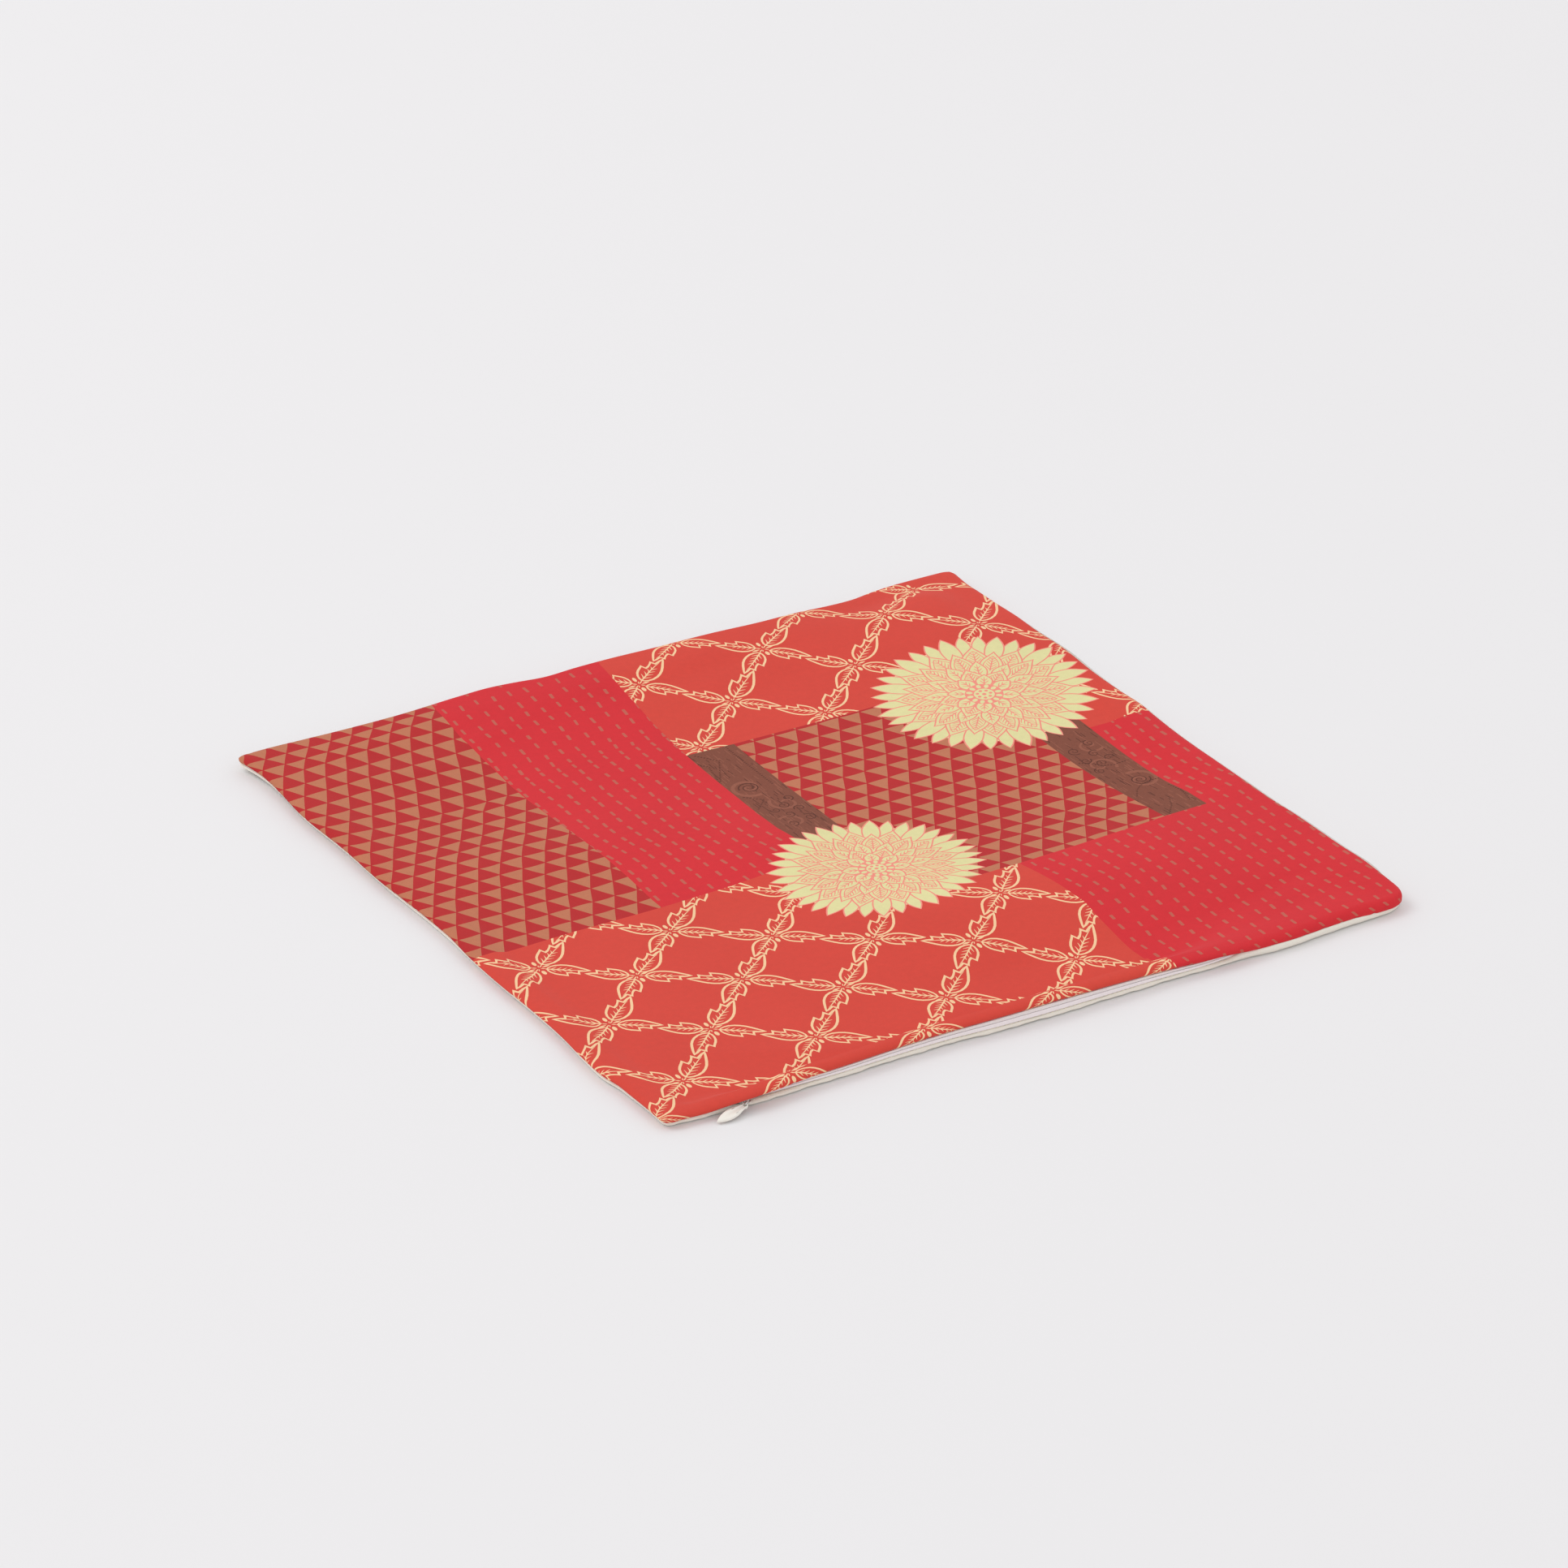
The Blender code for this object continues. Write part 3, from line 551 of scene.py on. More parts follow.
def stroke(line: Array, widths: Array) -> Array:
    """Gives a line a body.

    Args:
        line: Points along the middle.
        widths: Full width at each point.

    Returns:
        A closed outline.
    """
    step = unit(np.gradient(line, axis=0))
    side = np.stack([-step[:, 1], step[:, 0]], axis=-1) * np.asarray(widths)[:, None] / 2
    return np.concatenate([line - side, (line + side)[::-1]])


def oval(
    x: float, y: float, width: float, height: float, steps: int = 10, turn: float = 0.0
) -> Array:
    """An oval outline with its centre, full sizes and turn in radians."""
    angle = np.arange(steps) * 2 * math.pi / steps
    points = np.stack([np.cos(angle) * width / 2, np.sin(angle) * height / 2], axis=-1)
    return turned(points, turn) + (x, y)


class LeafRow(NamedTuple):
    """Place along a leaf and half width there, both as shares."""

    along: float
    width: float


SMOOTH_SIDE = (
    LeafRow(0.0, 0.0), LeafRow(0.02, 0.3), LeafRow(0.08, 0.6), LeafRow(0.17, 0.86), LeafRow(0.3, 1.0),
    LeafRow(0.42, 1.0), LeafRow(0.55, 0.9), LeafRow(0.68, 0.7), LeafRow(0.8, 0.47), LeafRow(0.91, 0.24),
)
TOOTHED_SIDE = (
    LeafRow(1.0, 0.0), LeafRow(0.88, 0.2), LeafRow(0.75, 0.28), LeafRow(0.78, 0.84), LeafRow(0.68, 0.7),
    LeafRow(0.58, 0.62), LeafRow(0.5, 0.66), LeafRow(0.54, 1.22), LeafRow(0.43, 1.14),
    LeafRow(0.32, 1.08), LeafRow(0.22, 0.95), LeafRow(0.12, 0.7), LeafRow(0.04, 0.36),
)
SMOOTH_INSIDE = (
    LeafRow(0.04, 0.14), LeafRow(0.1, 0.44), LeafRow(0.18, 0.65), LeafRow(0.3, 0.78),
    LeafRow(0.42, 0.78), LeafRow(0.54, 0.68), LeafRow(0.66, 0.49), LeafRow(0.77, 0.29),
    LeafRow(0.86, 0.14),
)
TOOTHED_INSIDE = (
    LeafRow(0.91, -0.03), LeafRow(0.81, 0.0), LeafRow(0.7, 0.07), LeafRow(0.715, 0.56),
    LeafRow(0.63, 0.47), LeafRow(0.54, 0.41), LeafRow(0.45, 0.46), LeafRow(0.485, 0.97),
    LeafRow(0.4, 0.91), LeafRow(0.31, 0.85), LeafRow(0.22, 0.73), LeafRow(0.13, 0.5),
    LeafRow(0.065, 0.22),
)


@dataclass
class TrellisLeaf:
    """The toothed leaf of the trellis, from its base at 0 along +X, toothed on its +Y side."""

    start: float = 3.5
    length: float = 21.3
    half_width: float = 4.8
    turn: float = -4.0
    rib: float = 0.75
    rib_places: tuple[float, ...] = (-0.01, 0.2, 0.45, 0.66, 0.8)
    rib_bow: tuple[float, ...] = (0.0, 0.1, 0.3, 0.2, -0.2)
    rib_taper: tuple[float, ...] = (1.0, 1.1, 0.9, 0.6)
    vein: float = 0.5
    veins: int = 4
    vein_start: float = 0.1
    vein_pitch: float = 0.125
    vein_height: float = 0.5
    height_loss: float = 0.06
    vein_reach: float = 0.115
    reach_loss: float = 0.008
    upper_reach: float = 0.4
    point: float = 0.15

    def outlines(self) -> list[tuple[Array, Ink]]:
        """Its outlines from the lowest ink to the top one, about the star's middle.

        Returns:
            Outlines with their inks.
        """
        parts = []
        for smooth, toothed, ink in (
            (SMOOTH_SIDE, TOOTHED_SIDE, Ink.CREAM),
            (SMOOTH_INSIDE, TOOTHED_INSIDE, Ink.CORAL),
        ):
            rows = [(row.along, -row.width) for row in smooth]
            rows += [(row.along, row.width) for row in toothed]
            parts.append((np.array(rows) * (self.length, self.half_width), ink))
        middle = np.stack([np.array(self.rib_places) * self.length, np.array(self.rib_bow)], axis=-1)
        widths = [share * self.rib for share in self.rib_taper] + [self.point]
        parts.append((stroke(middle, widths), Ink.CREAM))
        for k in range(self.veins):
            start = (self.vein_start + self.vein_pitch * k) * self.length
            for side in (-1.0, 1.0):
                high = side * self.half_width * (self.vein_height - self.height_loss * k)
                reach = (self.vein_reach - self.reach_loss * k) * self.length
                reach += self.upper_reach if side > 0 else 0.0
                vein = [(start, 0.1), (start + 0.5 * reach, 0.42 * high), (start + reach, high)]
                widths = [1.2 * self.vein, self.vein, self.point]
                parts.append((stroke(np.array(vein), widths), Ink.CREAM))
        shift, turn = np.array([self.start, 0.0]), math.radians(self.turn)
        return [(turned(outline, turn) + shift, ink) for outline, ink in parts]


@dataclass
class Trellis:
    """Chains of leaves between the stars of a diamond trellis.

    The stars of the lower and the upper trellis are read in the level view. Those of the crest lie on
    the rolled edge beside the zip and are unrolled places.
    """

    lower: tuple[Place, ...] = (
        (-215, -24), (-145, -24), (-75, -25), (-180, -54), (-111, -55), (-42, -54), (-215, -84),
        (-145, -83), (-73, -83), (-2, -78), (68, -72), (-178, -115), (-105.5, -110.5), (-35, -109.5),
        (38.8, -102.5), (108, -98), (-212, -145), (-141, -142.5), (-70, -140.5), (3.8, -134.5),
        (74, -130), (-175.5, -176), (-104.5, -173), (-35, -173), (34.5, -174), (103, -168),
    )
    upper: tuple[Place, ...] = (
        (1.3, 165.5), (72.5, 167), (143.8, 168), (214, 170), (-34, 128), (31, 127), (102.5, 129),
        (177.5, 135), (-6.3, 93.8), (63.8, 93.8), (136, 96), (206, 100), (170, 183.7), (143, 201),
        (108, 192), (38.5, 195.5), (-30, 196), (-68, 166), (170, 62), (134, 25), (205, 26), (170, 0),
        (248, 135), (-70, 94), (29, 57), (99, 60), (-41, 56),
    )
    crest: tuple[Place, ...] = (
        (-205, -195.2), (-134.5, -194.6), (-62.5, -194.6), (4.5, -194.6), (68.0, -194.6),
    )
    crest_leaf: Place = (35.0, -30.5)
    steepness: float = 0.66
    chain_length: float = 46.6
    reach_x: Place = (22.0, 48.0)
    reach_y: Place = (13.0, 46.0)
    flat_leaf: TrellisLeaf = field(default_factory=TrellisLeaf)
    rising_leaf: TrellisLeaf = field(
        default_factory=lambda: TrellisLeaf(start=3.6, length=24.2, half_width=5.8, turn=-5.0)
    )
    falling_leaf: TrellisLeaf = field(
        default_factory=lambda: TrellisLeaf(start=3.2, length=20.4, half_width=5.5, turn=-4.0)
    )

    def leaf_between(self, start: Array, end: Array, up: bool) -> list[Motif]:
        """Draws the leaf that stands at one star and points to another.

        Args:
            start: Star that the leaf stands at.
            end: Star that it points to.
            up: True where its toothed side is the upper one.

        Returns:
            The leaf's motifs.
        """
        along = end - start
        span = float(np.linalg.norm(along))
        axis = along / span
        side = np.array([-axis[1], axis[0]])
        if (side[1] > 0) != up:
            side = -side
        leaf = self.flat_leaf
        if axis[0] * axis[1] > 0:
            leaf = self.rising_leaf if up else self.falling_leaf
        stretch = span / self.chain_length
        motifs = []
        for outline, ink in leaf.outlines():
            place = start + np.outer(outline[:, 0] * stretch, axis) + np.outer(outline[:, 1], side)
            motifs.append(Motif(place, Patch.TRELLIS, ink))
        return motifs

    @staticmethod
    def star_at(centre: Array) -> list[Motif]:
        """Draws the middle of a star: two drops, and slivers between the leaves.

        Args:
            centre: Middle of the star in unrolled coordinates.

        Returns:
            The motifs of the star's middle.
        """
        shapes = [oval(0.1, 4.6, 1.8, 3.9), oval(0.2, -4.7, 2.0, 3.9)]
        for turn, start, end, width in (
            (3, 1.9, 5.9, 1.35), (183, 1.9, 5.9, 1.35), (38, 0.9, 3.3, 0.75), (-36, 1.0, 3.1, 0.7),
            (144, 1.0, 3.2, 0.75), (218, 0.9, 3.3, 0.7), (68, 0.9, 2.6, 0.55), (248, 0.9, 2.6, 0.55),
        ):
            line = np.array([(start, 0.0), ((start + end) / 2, 0.0), (end, 0.0)])
            shapes.append(turned(stroke(line, [0.3, width, 0.3]), math.radians(turn)))
        return [Motif(shape + centre, Patch.TRELLIS, Ink.CREAM) for shape in shapes]

    def chain(self, a: Array, b: Array) -> list[Motif]:
        """Draws the two leaves between neighbouring stars, toothed above where they lean up."""
        low, high = (a, b) if a[1] < b[1] else (b, a)
        return self.leaf_between(low, high, True) + self.leaf_between(high, low, False)

    def motifs(self, shape: CoverShape) -> list[Motif]:
        """All motifs of both trellises.

        Args:
            shape: The cover's lie.

        Returns:
            Motifs in unrolled coordinates.
        """
        result: list[Motif] = []
        lower = shape.from_view(self.lower)
        crest = np.array(self.crest)
        for group in (np.concatenate([lower, crest]), shape.from_view(self.upper)):
            for i, a in enumerate(group):
                result += self.star_at(a)
                for b in group[i + 1 :]:
                    across, along = np.abs(b - a)
                    if (
                        self.reach_x[0] < across < self.reach_x[1]
                        and self.reach_y[0] < along < self.reach_y[1]
                    ):
                        result += self.chain(a, b)
        for star in crest:
            for sign in (-1.0, 1.0):
                end = np.array([sign * self.crest_leaf[0], self.crest_leaf[1]])
                for motif in self.leaf_between(np.zeros(2), end, False):
                    outline = motif.outline * (1.0, self.steepness) + star
                    result.append(Motif(outline, motif.patch, motif.ink))
        return result


@dataclass
class TrianglePanel:
    """Rows of small triangles that point towards the zip.

    The heights of the rows' lines are read in the level view along three upright lines, and the corners'
    places along one row.
    """

    across: Triple
    lines: tuple[tuple[float, ...], tuple[float, ...], tuple[float, ...]]
    first: float
    pitch: float
    count: int
    even_line: int
    lean: float = 0.0
    lean_from: float = 140.0
    lean_over: float = 60.0
    gap: float = 0.24
    sharpness: float = 1.8
    wobble: float = 0.3
    bend: float = 0.45
    sideways: float = 0.35
    side_steps: tuple[float, ...] = (0.0, 0.2, 0.4, 0.6, 0.8)
    seed: int = 3

    def corners(self, rng: np.random.Generator) -> Array:
        """The rows of corners in the level view, each row half a pitch from the next.

        Args:
            rng: Source of the small uneven moves.

        Returns:
            One row of places for each row of corners.
        """
        rows = len(self.lines[0])
        columns = self.first + self.pitch * np.arange(self.count)
        grid = np.empty((rows, self.count, 2))
        for k in range(rows):
            x = columns + 0.5 * self.pitch * ((k - self.even_line) % 2)
            curve = np.polyfit(self.across, [line[k] for line in self.lines], 2)
            inner = np.clip(x, self.across[0], self.across[2])
            grid[k] = np.stack([x, np.polyval(curve, inner)], axis=-1)
        lean = np.clip((grid[..., 1] - self.lean_from) / self.lean_over, 0.0, 1.2) ** 1.5
        grid[..., 0] += self.lean * lean
        return grid + rng.uniform(-self.wobble, self.wobble, grid.shape)

    def motifs(self, shape: CoverShape) -> list[Motif]:
        """The panel's triangles in unrolled coordinates.

        Args:
            shape: The cover's lie.

        Returns:
            The motifs from the lowest to the top one.
        """
        rng = np.random.default_rng(self.seed)
        grid = self.corners(rng)
        outlines = []
        for k in range(len(grid) - 1):
            odd = (k - self.even_line) % 2
            for i in range(self.count - 1):
                corners = np.array([grid[k, i], grid[k + 1, i + 1 if odd else i], grid[k, i + 1]])
                corners = inset_outline(corners, self.gap, self.sharpness)
                bends = rng.uniform(-self.bend, self.bend, (3, 1)) * np.array([self.sideways, 1.0])
                run = np.roll(corners, -1, axis=0) - corners
                sides = [corners + run * t + bends * 4 * t * (1 - t) for t in self.side_steps]
                outlines.append(np.stack(sides, axis=1).reshape(-1, 2))
        drawn = shape.from_view(np.concatenate(outlines)).reshape(len(outlines), -1, 2)
        return [Motif(outline, Patch.TRIANGLES, Ink.TAN) for outline in drawn]


class Shift(NamedTuple):
    """A sideways move of a column at a height."""

    y: float
    move: float


@dataclass
class DashPanel:
    """Pairs of short dashes in columns, each column half a step from the next.

    The pairs' heights and the columns' sideways moves are read in the level view near the first and the
    last columns, and the columns between them blend the two.
    """

    first: float
    pitch: float
    count: int
    near_rows: tuple[float, ...]
    far_rows: tuple[float, ...]
    near_shifts: tuple[Shift, ...]
    far_shifts: tuple[Shift, ...]
    near_until: float
    far_from: float
    far_full: float
    squeeze: float = 0.0
    squeeze_from: int = 9
    length: float = 4.5
    width: float = 1.5
    pair_offset: float = 0.43
    usual_step: float = 9.1
    jitter: Place = (0.18, 0.25)
    size_spread: float = 0.07
    turn_spread: float = 0.05
    seed: int = 5

    def column(self, k: int, y: Array) -> Array:
        """Place of a column at the given heights.

        Args:
            k: Number of the column.
            y: Heights in the level view.

        Returns:
            The column's place at each height.
        """
        squeezed = self.squeeze * max(k - self.squeeze_from, 0) ** 1.4
        x = np.full_like(y, self.first + self.pitch * k - squeezed)
        near = max(1.0 - k / self.near_until, 0.0)
        far = min(max((k - self.far_from) / (self.far_full - self.far_from), 0.0), 1.0)
        for share, shifts in ((near, self.near_shifts), (far, self.far_shifts)):
            rising = shifts[::-1]
            x += share * np.interp(y, [row.y for row in rising], [row.move for row in rising])
        return x

    def motifs(self, shape: CoverShape) -> list[Motif]:
        """The panel's dashes in unrolled coordinates.

        Args:
            shape: The cover's lie.

        Returns:
            The motifs from the lowest to the top one.
        """
        rng = np.random.default_rng(self.seed)
        corners = np.array([(-0.5, -0.4), (-0.38, -0.5), (0.38, -0.5), (0.5, -0.4)])
        outline = np.concatenate([corners, -corners])
        near, far = np.array(self.near_rows), np.array(self.far_rows)
        drawn = []
        for k in range(self.count):
            rows = near + (far - near) * min(k / self.far_full, 1.0)
            centre, step = rows[k % 2 :: 2], -np.gradient(rows)[k % 2 :: 2]
            for half in (-self.pair_offset, self.pair_offset):
                y = centre + half * step + rng.normal(0, self.jitter[1], len(centre))
                x = self.column(k, y) + rng.normal(0, self.jitter[0], len(centre))
                lean = np.arctan2(self.column(k, y - 1.5) - self.column(k, y + 1.5), 3.0)
                sizes = self.length * (0.3 + 0.7 * step / self.usual_step)
                sizes = sizes * (1 + rng.normal(0, self.size_spread, len(step)))
                for row in range(len(centre)):
                    width = self.width * (1 + rng.normal(0, self.size_spread))
                    turn = lean[row] + rng.normal(0, self.turn_spread)
                    drawn.append(turned(outline * (width, sizes[row]), turn) + (x[row], y[row]))
        drawn = shape.from_view(np.concatenate(drawn)).reshape(len(drawn), -1, 2)
        return [Motif(dash, Patch.DASHES, Ink.DASH) for dash in drawn]


class Curl(NamedTuple):
    """A spiral of a brown strip: its middle, size, turns, first angle, hand, line width and ink."""

    x: float
    y: float
    size: float
    turns: float
    start: float
    hand: int
    width: float
    ink: Ink

    def line(self) -> Array:
        """The spiral's line, which opens from its middle."""
        t = np.linspace(0.12, 1.0, int(14 * self.turns) + 4)
        angle = self.start + self.hand * t * self.turns * 2 * math.pi
        reach = self.size * t
        return np.stack([self.x + reach * np.cos(angle), self.y + reach * np.sin(angle)], axis=-1)


CURLS = (
    Curl(-4, 9, 9.5, 1.6, 1.2, 1, 2.2, Ink.LIGHT_BROWN),
    Curl(3, -14, 8.0, 1.3, 4.2, -1, 1.8, Ink.LIGHT_BROWN),
    Curl(-5, -34, 7.0, 1.3, 0.4, 1, 1.6, Ink.LIGHT_BROWN),
    Curl(-3.5, 8.5, 5.4, 2.4, 0.6, 1, 0.8, Ink.DARK_BROWN),
    Curl(6.5, -10, 3.0, 1.6, 2.2, -1, 0.65, Ink.DARK_BROWN),
    Curl(0.5, -16, 3.4, 1.7, 3.4, 1, 0.65, Ink.DARK_BROWN),
    Curl(-5.5, -19, 2.7, 1.6, 0.2, -1, 0.65, Ink.DARK_BROWN),
    Curl(6, -22, 3.0, 1.7, 5.2, 1, 0.65, Ink.DARK_BROWN),
    Curl(-2, -26, 3.2, 1.6, 1.2, -1, 0.65, Ink.DARK_BROWN),
    Curl(5, -33, 3.6, 1.7, 3.8, 1, 0.65, Ink.DARK_BROWN),
    Curl(-6, -36, 3.0, 1.6, 2.0, -1, 0.65, Ink.DARK_BROWN),
)


@dataclass
class ScrollStrip:
    """Tone-on-tone curls, dotted lines and short strokes of a brown strip, about the strip's middle."""

    centre: Place
    turn: float = 0.0
    mirrored: bool = False
    cords: tuple[tuple[Place, ...], ...] = (
        ((-16, 47), (-9, 37), (-13, 20)), ((-9, 50), (-1.5, 40), (-12, 21)), ((8.2, 50), (8.2, 6)),
        ((-11, 1), (-4, -6), (-12, -14)),
    )
    dot_pitch: float = 1.6
    strokes: int = 170
    reach: Place = (15.0, 50.0)
    light_share: float = 0.6
    seed: int = 9

    def dotted(self, points: Sequence[Place]) -> list[Array]:
        """Small dots along a bent line."""
        line = np.array(points, dtype=float)
        runs = np.linalg.norm(np.diff(line, axis=0), axis=1)
        lengths = np.concatenate([[0], np.cumsum(runs)])
        places = np.arange(0, lengths[-1], self.dot_pitch)
        x, y = np.interp(places, lengths, line[:, 0]), np.interp(places, lengths, line[:, 1])
        return [oval(a, b, 1.25, 0.85, 6) for a, b in zip(x, y)]

    def shapes(self) -> list[tuple[Array, Ink]]:
        """The strip's drawing about its own middle, from the lowest ink to the top one.

        Returns:
            Outlines with their inks.
        """
        parts: list[tuple[Array, Ink]] = []
        for curl in CURLS:
            line = curl.line()
            parts.append((stroke(line, np.linspace(0.5, 1.0, len(line)) * curl.width), curl.ink))
        for cord in self.cords:
            parts += [(dot, Ink.DARK_BROWN) for dot in self.dotted(cord)]
        rng = np.random.default_rng(self.seed)
        wide, tall = self.reach
        for _ in range(self.strokes):
            x, y = rng.uniform(-wide, wide), rng.uniform(-tall, tall)
            low, lean, high = rng.uniform(1, 4), rng.normal(0, 0.2), rng.uniform(1, 4)
            line = np.array([(x, y - low), (x + lean, y + high)])
            ink = Ink.LIGHT_BROWN if rng.random() < self.light_share else Ink.DARK_BROWN
            parts.insert(0, (stroke(line, [0.4, 0.4]), ink))
        return parts

    def motifs(self, shape: CoverShape) -> list[Motif]:
        """The strip's motifs in unrolled coordinates."""
        centre = shape.from_view([self.centre])[0]
        flip = (-1.0, -1.0) if self.mirrored else (1.0, 1.0)
        return [
            Motif(turned(part * flip, math.radians(self.turn)) + centre, Patch.BROWN, ink)
            for part, ink in self.shapes()
        ]


class PetalRing(NamedTuple):
    """A ring of pointed petals of a rosette whose radius is one.

    The columns are the number of petals, their phase, the distances of foot and tip from the middle,
    half the greatest width, the share of the length at which it lies, how hollow the sides are before
    the tip, the number of side veins, and the width of the dark edge in lines.
    """

    count: int
    phase: float
    start: float
    end: float
    half: float
    belly: float
    tip: float
    veins: int
    edge: float

    def outline(self) -> Array:
        """One petal along +X.

        Returns:
            One row for each point of the petal's outline.
        """
        t = np.linspace(0.0, 1.0, 13)
        rise = np.where(
            t < self.belly,
            np.sin(0.5 * math.pi * t / self.belly) ** 0.8,
            np.cos(0.5 * math.pi * np.clip((t - self.belly) / (1 - self.belly), 0, 1)) ** self.tip,
        )
        x = self.start + (self.end - self.start) * t
        low = np.stack([x, -self.half * rise], axis=-1)
        high = np.stack([x, self.half * rise], axis=-1)
        return np.concatenate([low, high[-2:0:-1]])

    def drawing(self, line: float) -> list[tuple[Array, Ink]]:
        """One petal's edge, band, rib and veins, from the lowest ink to the top one.

        Args:
            line: Width of a drawn line.

        Returns:
            Outlines with their inks.
        """
        outer = self.outline()
        parts = [(outer, Ink.PINK), (inset_outline(outer, self.edge * line, 1.5), Ink.PISTACHIO)]
        if self.half > 0.1:
            band = inset_outline(outer, 3.4 * line, 1.4)
            parts += [(band, Ink.PINK), (inset_outline(band, 0.8 * line, 1.4), Ink.PISTACHIO)]
        if self.veins:
            run = self.end - self.start
            low, tip = self.start + run * 0.3, self.start + run * 0.84
            middle = np.array([(low, 0.0), ((low + tip) / 2, 0.0), (tip, 0.0)])
            parts.append((stroke(middle, [line, line, 0.3 * line]), Ink.PINK))
        for k in range(self.veins):
            at = low + (tip - low) * (k + 0.5) / (self.veins + 1)
            reach = 0.5 * self.half * (1 - 0.5 * k / self.veins)
            for side in (-1, 1):
                bent = (at + 0.8 * reach, side * 0.7 * reach)
                vein = np.array([(at, 0.0), bent, (at + 1.3 * reach, side * reach)])
                parts.append((stroke(vein, [line, 0.8 * line, 0.3 * line]), Ink.PINK))
        return parts


class SeedRing(NamedTuple):
    """A ring of ovals in a rosette's heart: number, distance, width, height, corners and ink."""

    count: int
    place: float
    width: float
    height: float
    steps: int
    ink: Ink


PETALS = (
    PetalRing(36, 0.5, 0.5, 0.9, 0.058, 0.62, 0.9, 0, 1.3),
    PetalRing(36, 0.0, 0.5, 0.985, 0.07, 0.62, 0.9, 0, 1.1),
    PetalRing(12, 0.0, 0.4, 1.0, 0.09, 0.6, 0.9, 0, 1.2),
    PetalRing(12, 0.5, 0.3, 0.8, 0.13, 0.5, 1.2, 5, 1.3),
    PetalRing(12, 0.0, 0.25, 0.72, 0.11, 0.5, 1.2, 5, 1.3),
    PetalRing(12, 0.5, 0.2, 0.56, 0.085, 0.52, 1.2, 3, 1.2),
    PetalRing(8, 0.0, 0.1, 0.44, 0.11, 0.5, 1.3, 4, 1.2),
    PetalRing(8, 0.5, 0.08, 0.33, 0.08, 0.55, 1.0, 2, 1.2),
)
HEART = (
    SeedRing(1, 0.0, 0.34, 0.34, 24, Ink.PINK),
    SeedRing(12, 0.132, 0.06, 0.042, 10, Ink.PISTACHIO),
    SeedRing(1, 0.0, 0.185, 0.185, 18, Ink.PISTACHIO),
    SeedRing(7, 0.06, 0.034, 0.034, 7, Ink.PINK),
    SeedRing(1, 0.0, 0.04, 0.04, 8, Ink.PINK),
)


def around(outline: Array, count: int, phase: float = 0.0) -> list[Array]:
    """Repeats an outline round the middle."""
    return [turned(outline, 2 * math.pi * (k + phase) / count) for k in range(count)]


@dataclass
class Rosette:
    """A lotus rosette of plain pointed petals in layers round a seed head."""

    centre: Place
    size: Place
    turn: float
    line: float = 0.62

    def placed(self, shape: CoverShape, outlines: Iterable[Array]) -> list[Array]:
        """Puts outlines of a rosette of radius one on the unrolled cloth."""
        centre = shape.from_view([self.centre])[0]
        turn = math.radians(self.turn)
        return [turned(outline, turn) * self.size + centre for outline in outlines]

    def ground(self, shape: CoverShape) -> list[Array]:
        """Outlines on the unrolled cloth whose union is the rosette's ground."""
        outlines = [
            copy for ring in PETALS[1:3] for copy in around(ring.outline(), ring.count, ring.phase)
        ]
        return self.placed(shape, [*outlines, oval(0, 0, 1.68, 1.68, 60)])

    def motifs(self, shape: CoverShape) -> list[Motif]:
        """The rosette's drawing in unrolled coordinates.

        Args:
            shape: The cover's lie.

        Returns:
            The motifs from the lowest to the top one.
        """
        parts: list[tuple[Array, Ink]] = []
        for ring in PETALS:
            for outline, ink in ring.drawing(self.line / self.size[0]):
                parts += [(copy, ink) for copy in around(outline, ring.count, ring.phase)]
        for seed in HEART:
            outline = oval(seed.place, 0, seed.width, seed.height, seed.steps)
            parts += [(copy, seed.ink) for copy in around(outline, seed.count)]
        outlines = self.placed(shape, [outline for outline, _ in parts])
        return [Motif(outline, Patch.ROSETTE, ink) for outline, (_, ink) in zip(outlines, parts)]


